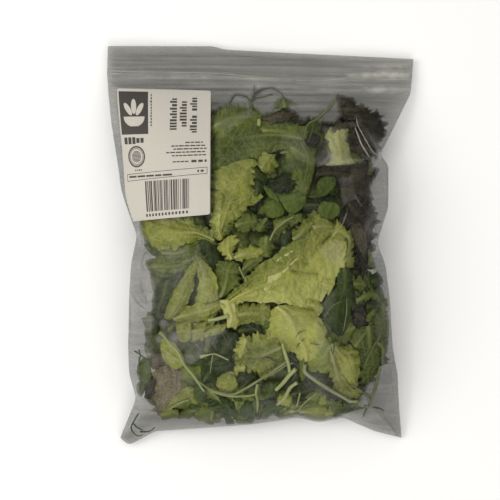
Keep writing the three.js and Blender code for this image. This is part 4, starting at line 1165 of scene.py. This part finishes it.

# The film's folds
# Sharp folds that stand up in the loose film where the leaves crowd it, each a narrow rounded ridge along the
# front of the pouch. Film lies doubled in them, so they show as fine pale or dark lines. The paleness is
# partly the doubled film's own milkiness and partly a painted glint along the fold.
FOLDS = [  # the fold's way, its radii along it, and how pale it is, partly a painted glint
    ([(61.7, 78.5), (63.7, 72.6), (66.3, 66), (69.6, 60.7), (71.9, 56.8)], [0.26, 0.47, 0.51, 0.3], 0.75),
    ([(63, 84.5), (63.7, 79.2), (66.3, 73.9), (69.6, 68), (72.9, 62.7), (75.6, 60.1), (78.9, 58.1)],
     [0.21, 0.38, 0.42, 0.34], 0.56),
    ([(71.6, 56.4), (65.7, 56.1), (59.1, 55.4), (52.5, 54.8)], [0.22, 0.19, 0.15], 0.24),
    ([(42.6, 52.8), (45.9, 51.5), (52.5, 52.1)], [0.19, 0.19, 0.15], 0.24),
    ([(-76.9, -12.5), (-69.6, -12.9), (-59.7, -11.9), (-49.8, -10.6), (-44.6, -9.2), (-41.2, -7.3)],
     [0.22, 0.3, 0.26, 0.22], 0.2),
    ([(-85.5, -30.4), (-82.2, -35.6), (-78.9, -39.6), (-74.2, -42.2)], [0.5, 0.9, 0.7, 0.5], 0),
    ([(-78.2, -21.1), (-78.2, -27.7), (-75.6, -34.3), (-72.9, -40.3)], [0.5, 0.9, 0.8, 0.4], 0),
    ([(-73.6, -3.3), (-76.9, -7.9), (-77.5, -13.2), (-74.9, -17.8)], [0.4, 0.6, 0.5, 0.4], 0),
    ([(74.9, -108.2), (80.2, -114.2), (86.1, -120.8), (90.8, -126.7)], [0.3, 0.68, 0.52, 0.22], 0.32),
    ([(78.2, -108.2), (82.8, -114.8), (87.5, -120.8), (92.1, -127.4)], [0.3, 0.5, 0.5, 0.3], 0),
    ([(61.7, 32.3), (63.7, 28.4), (66.3, 25.1)], [0.19, 0.26, 0.19], 0.24),
    ([(56.4, 21.8), (54.5, 17.2), (52.5, 12.5), (47.2, 7.9)], [0.19, 0.34, 0.3, 0.15], 0.36),
    ([(74.2, 100.3), (82.2, 100), (90.1, 99.7), (95.4, 101.6), (99.3, 104.9)],
     [0.22, 0.34, 0.34, 0.22], 0.28),
    ([(-101.3, 110.2), (-96, 106.9), (-89.4, 107.6)], [0.3, 0.52, 0.3], 0.2),
    ([(-86.1, -36.3), (-85.8, -49.5), (-86.5, -66)], [0.22, 0.38, 0.22], 0.24),
    ([(-71, -56.1), (-71.6, -75.9), (-72.9, -95.7)], [0.3, 0.45, 0.3], 0.06),
    ([(83.6, 53), (83.8, 39.6), (83, 25.7)], [0.22, 0.34, 0.22], 0.2),
    ([(84.5, -72), (86, -85), (88.5, -102.3)], [0.22, 0.38, 0.22], 0.16),
    ([(-20.1, -66), (-25.4, -56.1), (-28.1, -46.9)], [0.19, 0.22, 0.15], 0.2),
    ([(-9.6, -51.5), (-0.3, -56.8), (7.6, -61.4)], [0.15, 0.22, 0.15], 0.16),
    ([(39.9, -49.5), (43.9, -42.9), (48.5, -38.3), (55.1, -36.3)], [0.15, 0.26, 0.22, 0.15], 0.22),
    ([(26.1, -101), (38, -104.9), (52.5, -103.6)], [0.19, 0.26, 0.19], 0.16),
    ([(-32, 127.4), (-6.9, 125.4), (32.7, 122.1)], [0.22, 0.38, 0.22], 0.12),
    ([(-92.7, 118.1), (-59.7, 117.5), (-30, 118.1)], [0.22, 0.38, 0.22], 0.14),
    ([(-13.5, 103.6), (12.9, 101), (45.9, 97.7)], [0.22, 0.3, 0.22], 0.14),
    ([(-22.8, 98.3), (-21.4, 104.9), (-13.5, 106.3)], [0.15, 0.22, 0.15], 0.16),
    ([(62.4, -56.1), (67, -66), (69.6, -77.2)], [0.15, 0.22, 0.15], 0.14),
]


def fold_line(way, radii, pale):
    """A fold that follows the front film and runs out to nothing at both ends."""
    line, t = in_steps(way, 0.9, 12)
    radius = np.interp(t, np.linspace(0, 1, len(radii)), radii)
    radius = radius * smooth(t / 0.12) * smooth((1 - t) / 0.12) + 0.05
    z = np.maximum(on_grid(front_film, line[:, 0], line[:, 1]) + named_creases(line) * 0.5, radius)
    return np.column_stack([line, z]), radius, pale


def fold_material():
    """Doubled film: a pale fold looks milky and glossy, a dark one only dims what is under it.
    The pale folds' milkiness is partly a painted glint.
    """
    skin = Surface("folded_polythene")
    # How milky each fold is, which is partly a painted glint.
    share = skin.sums("MULTIPLY", skin.mark("tone"), skin.noise(240.0, 3.0))
    passed = skin.shader("Transparent", {"Color": (0.9, 0.9, 0.88, 1)})
    milky = skin.shader("Principled", {"Base Color": (0.5, 0.49, 0.43, 1), "Roughness": 0.35})
    return skin.done(skin.over(share, passed, milky))


film_folds = grow("film_folds", line_mesh("folds", [fold_line(*fold) for fold in FOLDS]), sweep, Sides=8,
                  Skin=fold_material())
film_folds.data.shade_smooth()
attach(film_folds, "root")
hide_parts("bag")

# The press-seal
# Two thin rails of thicker polythene welded along the mouth, one on each film, that press into each other.
# The strip curves a little because the full pouch draws its middle down.
SEAL_WAY = [(-100.5, 115), (-68, 114), (-33, 113.2), (2, 110.5), (36, 108), (56, 109.8), (78, 110.8),
            (101, 111.4)]
RAILS = ((0.9, 0.5), (-0.9, 0.45))  # how far each lies off the seal's way, and its radius


def rail_line(offset, radius):
    """One rail, nearly level with the film's face."""
    way = even_places(np.array(SEAL_WAY) + (0, offset), 120)
    z = on_grid(front_film, way[:, 0], way[:, 1]) + 0.1
    return np.column_stack([way, z]), np.full(len(way), radius), 0.5


def seal_material():
    """Thicker, milkier polythene with a soft gloss."""
    skin = Surface("press_seal_polythene")
    share = skin.ramp(skin.noise(60.0, 3.0), 0.35, 0.65, 0.05, 0.25)
    passed = skin.shader("Transparent", {"Color": (0.95, 0.95, 0.94, 1)})
    milky = skin.shader("Principled", {"Base Color": (0.6, 0.59, 0.55, 1), "Roughness": 0.3})
    return skin.done(skin.over(share, passed, milky))


press_seal = grow("press_seal", line_mesh("rails", [rail_line(*rail) for rail in RAILS]), sweep, Sides=10,
                  Skin=seal_material())
press_seal.data.shade_smooth()
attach(press_seal, "root")
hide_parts("bag")

# The label
# A matt white paper label with rounded corners, stuck on the upper left of the front film. It follows the
# film down the side of the pouch, so the film's height is walked along from the label's right edge.
LABEL_WIDE, LABEL_TALL = 63.0, 82.5
LABEL_RIGHT, LABEL_BOTTOM = -32.7, 19.8
LABEL_CORNER = 1.3
LABEL_THICK = 0.2
LABEL_OFF_FILM = 0.55  # from the pouch's own face to the paper's middle
LEAN_AT_FOOT, LEAN_AT_TOP = 0.085, -0.032  # how much the label's lines rise to the right
FEEL_AHEAD = 1.5  # how far ahead the film's slope is taken
label_columns, label_rows = 127, 90


def walk_label():
    """Points of the label's middle face, by its rows upwards and its columns rightwards."""
    grid = np.zeros((label_rows, label_columns, 3))
    up = np.linspace(0, 1, label_rows)
    lean = LEAN_AT_FOOT + (LEAN_AT_TOP - LEAN_AT_FOOT) * up
    x, y = np.full(label_rows, LABEL_RIGHT), LABEL_BOTTOM + LABEL_TALL * up
    for i in reversed(range(label_columns)):
        z = on_grid(front_film, x, y)
        grid[:, i] = np.stack([x, y, z + LABEL_OFF_FILM], 1)
        slope = (z - on_grid(front_film, x - FEEL_AHEAD, y - FEEL_AHEAD * lean)) / FEEL_AHEAD
        step = LABEL_WIDE / (label_columns - 1) / np.sqrt(1 + lean ** 2 + slope ** 2)
        x, y = x - step, y - step * lean
    for _ in range(8):
        z = grid[:, :, 2]
        beside = z[:-2, 1:-1] + z[2:, 1:-1] + z[1:-1, :-2] + z[1:-1, 2:]
        grid[1:-1, 1:-1, 2] = (z[1:-1, 1:-1] + beside) / 5
    return grid


label_grid = walk_label()
label_up = np.cross(np.gradient(label_grid, axis=1), np.gradient(label_grid, axis=0))
label_up /= np.linalg.norm(label_up, axis=2)[:, :, None]


def on_label(a, b, lift):
    """Where a place of the paper is, a mm from its left edge, b mm from its foot, and lift mm off it."""
    u = np.clip(a / LABEL_WIDE, 0, 1) * (label_columns - 1.001)
    v = np.clip(b / LABEL_TALL, 0, 1) * (label_rows - 1.001)
    return between_cells(label_grid, u, v) + between_cells(label_up, u, v) * lift[:, None]


def plain_material(name, dark, light, rough, scale):
    """A matt surface with a faint grain between two near colours."""
    skin = Surface(name)
    grain = skin.noise(scale, 6.0)
    return skin.done(skin.shader("Principled", {
        "Base Color": skin.blend(grain, paint(dark), paint(light)), "Roughness": rough,
        "Normal": skin.bump(0.1, 0.0002, grain)}))


PAPER = ("b0aca4", "bcb8af", 0.75, 900.0)  # its two colours, how rough it is and how fine its grain


def label_mesh():
    """The paper's sheet, whose rows draw in at its foot and its top to round the corners."""
    rows, columns = 120, 84
    b = np.linspace(0, LABEL_TALL, rows)
    near_end = np.clip(LABEL_CORNER - np.minimum(b, LABEL_TALL - b), 0, LABEL_CORNER)
    inset = LABEL_CORNER - np.sqrt(LABEL_CORNER ** 2 - near_end ** 2)
    a = inset[:, None] + (LABEL_WIDE - 2 * inset)[:, None] * np.linspace(1, 0, columns)[None, :]
    place = on_label(a.ravel(), np.repeat(b, columns), np.zeros(rows * columns))
    points, faces = both_faces(place, rows, columns, np.full(rows * columns, LABEL_THICK))
    mesh = bpy.data.meshes.new("label_sheet")
    mesh.from_pydata((points * MM).tolist(), [], faces.tolist())
    mesh.shade_smooth()
    mesh.materials.append(plain_material("label_stock", *PAPER))
    return mesh


label_sheet = put_in_scene("label_sheet", label_mesh())

# The label's print
# Dark ink: a panel, bars where the lines of words stand, a ringed seal, a ruled box and a stripe code. On the
# panel a bowl with three leaves is left in the colour of the paper.
INK = 0.12  # its thickness, much more than real ink's so that it stays clear of the paper's face
LONGEST_PIECE = 4


def bars_of(a, b, wide, tall, turn=0.0):
    """A bar of print about its middle, cut into pieces short enough to bend with the paper."""
    across, along = max(1, math.ceil(wide / LONGEST_PIECE)), max(1, math.ceil(tall / LONGEST_PIECE))
    c, s = math.cos(math.radians(turn)), math.sin(math.radians(turn))
    size = (wide / across + 0.02, tall / along + 0.02, turn)
    pieces = []
    for i in range(across):
        for j in range(along):
            x, y = wide * ((i + 0.5) / across - 0.5), tall * ((j + 0.5) / along - 0.5)
            pieces.append((a + x * c - y * s, b + x * s + y * c, *size))
    return pieces


def words(a0, a1, b, tall, longest):
    """A line of words from a0 to a1, each word a plain bar."""
    pieces, at = [], a0
    while at < a1 - 0.6:
        wide = min(random.uniform(0.4, 1.0) * longest, a1 - at)
        pieces += bars_of(at + wide / 2, b, wide, tall)
        at += wide + tall * 0.8
    return pieces


def upright_letters(a, low, high, tall, gap_at=None):
    """A line of blocks that runs up the label, as tall as its letters, with an opening between two words."""
    pieces, at = [], low
    while at < high - 1.2:
        wide = random.uniform(1.5, 2.5)
        if gap_at is None or abs(at + wide / 2 - gap_at) > 1.3:
            size = tall * random.choice([0.7, 0.7, 1.0])
            pieces += bars_of(a + (tall - size) / 2, at + wide / 2, size, wide * 0.62)
        at += wide
    return pieces


# Each place is in mm from the label's left edge and from its foot.
PANEL = (11, 67)
ink = bars_of(*PANEL, 20, 27)
ink += upright_letters(23, 58, 80, 1.1)
for k in range(5):
    ink += bars_of(3.9 + 3.1 * k, 49.6, 2.4, random.choice([3.0, 3.0, 4.2]))

# The ringed seal: a ring of blocks, a thin ring inside it, and a round patch of lines
RING = (11.5, 39.6)
for k in range(40):
    turn = math.radians(9 * k)
    for reach, wide in ((6.2, 1.05), (5.1, 0.35)):
        ink += bars_of(RING[0] + reach * math.sin(turn), RING[1] + reach * math.cos(turn), wide, 0.9, -9 * k)
for k in range(-4, 5):
    ink += bars_of(RING[0], RING[1] + k * 0.8, 7.2 * math.sqrt(1 - (k / 4.6) ** 2), 0.42)
ink += words(10, 15.5, 31.2, 0.9, 1.4)

# Three tall lines that run up the label, and the small lines beside them
for line in ((38.2, 55.5, 76.5, 4.6), (44.8, 57.5, 74.5, 4.6), (51.6, 53.5, 78.5, 4.6, 66)):
    ink += upright_letters(*line)
for a0, a1, b in ((46.5, 58, 47.4), (37, 59.5, 45.3), (38.5, 60.5, 43.3), (33.5, 60.5, 41.2),
                  (37.5, 60.5, 39.1)):
    ink += words(a0, a1, b, 0.75, 4)
ink += words(38, 48.5, 35.2, 0.75, 3) + words(50.5, 60.5, 35.2, 1.5, 4)

# The ruled box with its words
for b in (25.8, 29.9):
    ink += bars_of(32, b, 58, 0.3, 2)
ink += bars_of(3.1, 26.8, 0.3, 4.1) + bars_of(60.9, 28.9, 0.3, 4.1)
ink += words(4.8, 38, 27.3, 1.1, 7) + words(54.5, 59.5, 28.7, 1.3, 2.4)

# The stripe code, whose stripes and gaps are invented, with blocks under it
at = 17.6
while at < 49:
    wide = random.choice([0.35, 0.35, 0.7, 1.05])
    ink += bars_of(at + wide / 2, 14.6, wide, 19)
    at += wide + random.choice([0.35, 0.35, 0.7, 1.0])
for k in range(13):
    ink += bars_of(17.5 + 2.5 * k, 2.9, 1.3, 1.7)

motif = [(11, 71, 3.6, 9.5, 0), (6.9, 69.3, 3.4, 9, 32), (15.1, 69.3, 3.4, 9, -32)]
bowl = []
for k in range(12):
    bowl += bars_of(11, 64.3 - 0.5 * k, 15 * math.sqrt(1 - (k / 12.2) ** 2), 0.52)


def print_tree():
    """Sets a flat block or disc on every point, as wide, tall and turned as the point's attributes say."""
    tree = new_tree("print_marks", Ink="Float", Round="Bool", Colour="Material")
    given = add(tree, "NodeGroupInput").outputs
    wide, tall, turn = (
        add(tree, "GeometryNodeInputNamedAttribute", {"Name": name}, data_type="FLOAT").outputs[0]
        for name in ("wide", "tall", "turn"))
    block = add(tree, "GeometryNodeMeshCube", {"Size": (1, 1, 1), "Vertices X": 3, "Vertices Y": 3,
                                               "Vertices Z": 2})
    disc = add(tree, "GeometryNodeMeshCylinder", {"Vertices": 28, "Side Segments": 1, "Fill Segments": 3,
                                                  "Radius": 0.5, "Depth": 1.0})
    shape = add(tree, "GeometryNodeSwitch", {"Switch": given["Round"], "False": block.outputs[0],
                                             "True": disc.outputs[0]}, input_type="GEOMETRY")
    size = add(tree, "ShaderNodeCombineXYZ", {"X": wide, "Y": tall, "Z": given["Ink"]})
    about = add(tree, "ShaderNodeCombineXYZ", {"Z": turn})
    about = add(tree, "FunctionNodeEulerToRotation", {"Euler": about.outputs[0]})
    set_out = add(tree, "GeometryNodeInstanceOnPoints", {
        "Points": given["Geometry"], "Instance": shape.outputs[0], "Rotation": about.outputs[0],
        "Scale": size.outputs[0]})
    whole = add(tree, "GeometryNodeRealizeInstances", {"Geometry": set_out.outputs[0]})
    inked = add(tree, "GeometryNodeSetMaterial", {"Geometry": whole.outputs[0], "Material": given["Colour"]})
    add(tree, "NodeGroupOutput", {"Geometry": inked.outputs[0]})
    return tree


def print_on_label(name, marks, tree, colour, is_round, lift):
    """Blocks or discs from their middle, width, height and turn, laid out flat, then bent onto the label."""
    a, b, wide, tall, turn = np.array(marks, float).T
    mesh = bpy.data.meshes.new(name)
    mesh.from_pydata((np.column_stack([a, b, np.zeros(len(a))]) * MM).tolist(), [], [])
    keep_marks(mesh, wide=wide * MM, tall=tall * MM, turn=np.radians(turn))
    piece = grow(name, mesh, tree, Ink=INK * MM, Round=is_round, Colour=colour)
    flat = read_points(piece.data) / MM
    piece.data.vertices.foreach_set("co", (on_label(flat[:, 0], flat[:, 1], flat[:, 2] + lift) * MM).ravel())
    piece.data.update()
    return piece


print_marks = print_tree()
dark_ink = plain_material("label_ink", "26221e", "38332d", 0.6, 700.0)
paper_colour = plain_material("label_paper_colour", *PAPER)
label_print = print_on_label("label_print", ink, print_marks, dark_ink, False, 0.1)
label_bowl = print_on_label("label_bowl", bowl, print_marks, paper_colour, False, 0.15)
label_motif = print_on_label("label_motif", motif, print_marks, paper_colour, True, 0.15)
for piece in (label_sheet, label_print, label_bowl, label_motif):
    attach(piece, "root")
    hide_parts("label")

# The table, the light and the camera
# A plain pale table under large soft lamps, seen from straight above as in the photograph.
TABLE_REACH = 3.0
table = bpy.data.meshes.new("table")
table.from_pydata([(x * TABLE_REACH, y * TABLE_REACH, 0) for x, y in ((-1, -1), (1, -1), (1, 1), (-1, 1))],
                  [], [(0, 1, 2, 3)])
painted = Surface("pale_table")
table.materials.append(painted.done(painted.shader(
    "Principled", {"Base Color": (0.85, 0.855, 0.875, 1), "Roughness": 0.8})))
table_top = put_in_scene("table_top", table)


def lamp(name, place, size, power):
    """A soft lamp of that size in metres, turned to the middle of the table."""
    light = bpy.data.lights.new(name, "AREA")
    light.color = (1.0, 0.98, 0.93)
    light.shape, light.size, light.size_y, light.energy = "RECTANGLE", size[0], size[1], power
    holder = put_in_scene(name, light)
    holder.location = place
    holder.rotation_euler = (-Vector(place)).to_track_quat("-Z", "Y").to_euler()


lamp("left_window", (-1.6, 0.2, 1.4), (1.8, 1.4), 36)
lamp("foot_softbox", (0.2, -1.7, 1.4), (2.0, 1.2), 25)
lamp("head_softbox", (0.0, 1.7, 1.4), (2.0, 1.2), 16)
lamp("right_softbox", (1.7, 0.2, 1.3), (1.8, 1.2), 10)
sky = bpy.data.worlds.new("room")
sky.use_nodes = True
sky.node_tree.nodes["Background"].inputs["Color"].default_value = (1.0, 0.98, 0.94, 1)
sky.node_tree.nodes["Background"].inputs["Strength"].default_value = 0.2
bpy.context.scene.world = sky
bpy.context.scene.view_settings.view_transform = "Standard"

SEEN_WIDTH = 330.0  # mm of the table from side to side of the photograph
SEEN_MIDDLE = (-6.9, -3.3)
CAMERA_HEIGHT = 1.8
SEEN_HEIGHT = 0.02
camera = bpy.data.cameras.new("camera")
camera.lens = camera.sensor_width * (CAMERA_HEIGHT - SEEN_HEIGHT) / (SEEN_WIDTH * MM)
camera.clip_end = 10
viewer = put_in_scene("camera", camera)
viewer.location = (SEEN_MIDDLE[0] * MM, SEEN_MIDDLE[1] * MM, CAMERA_HEIGHT)
bpy.context.scene.camera = viewer
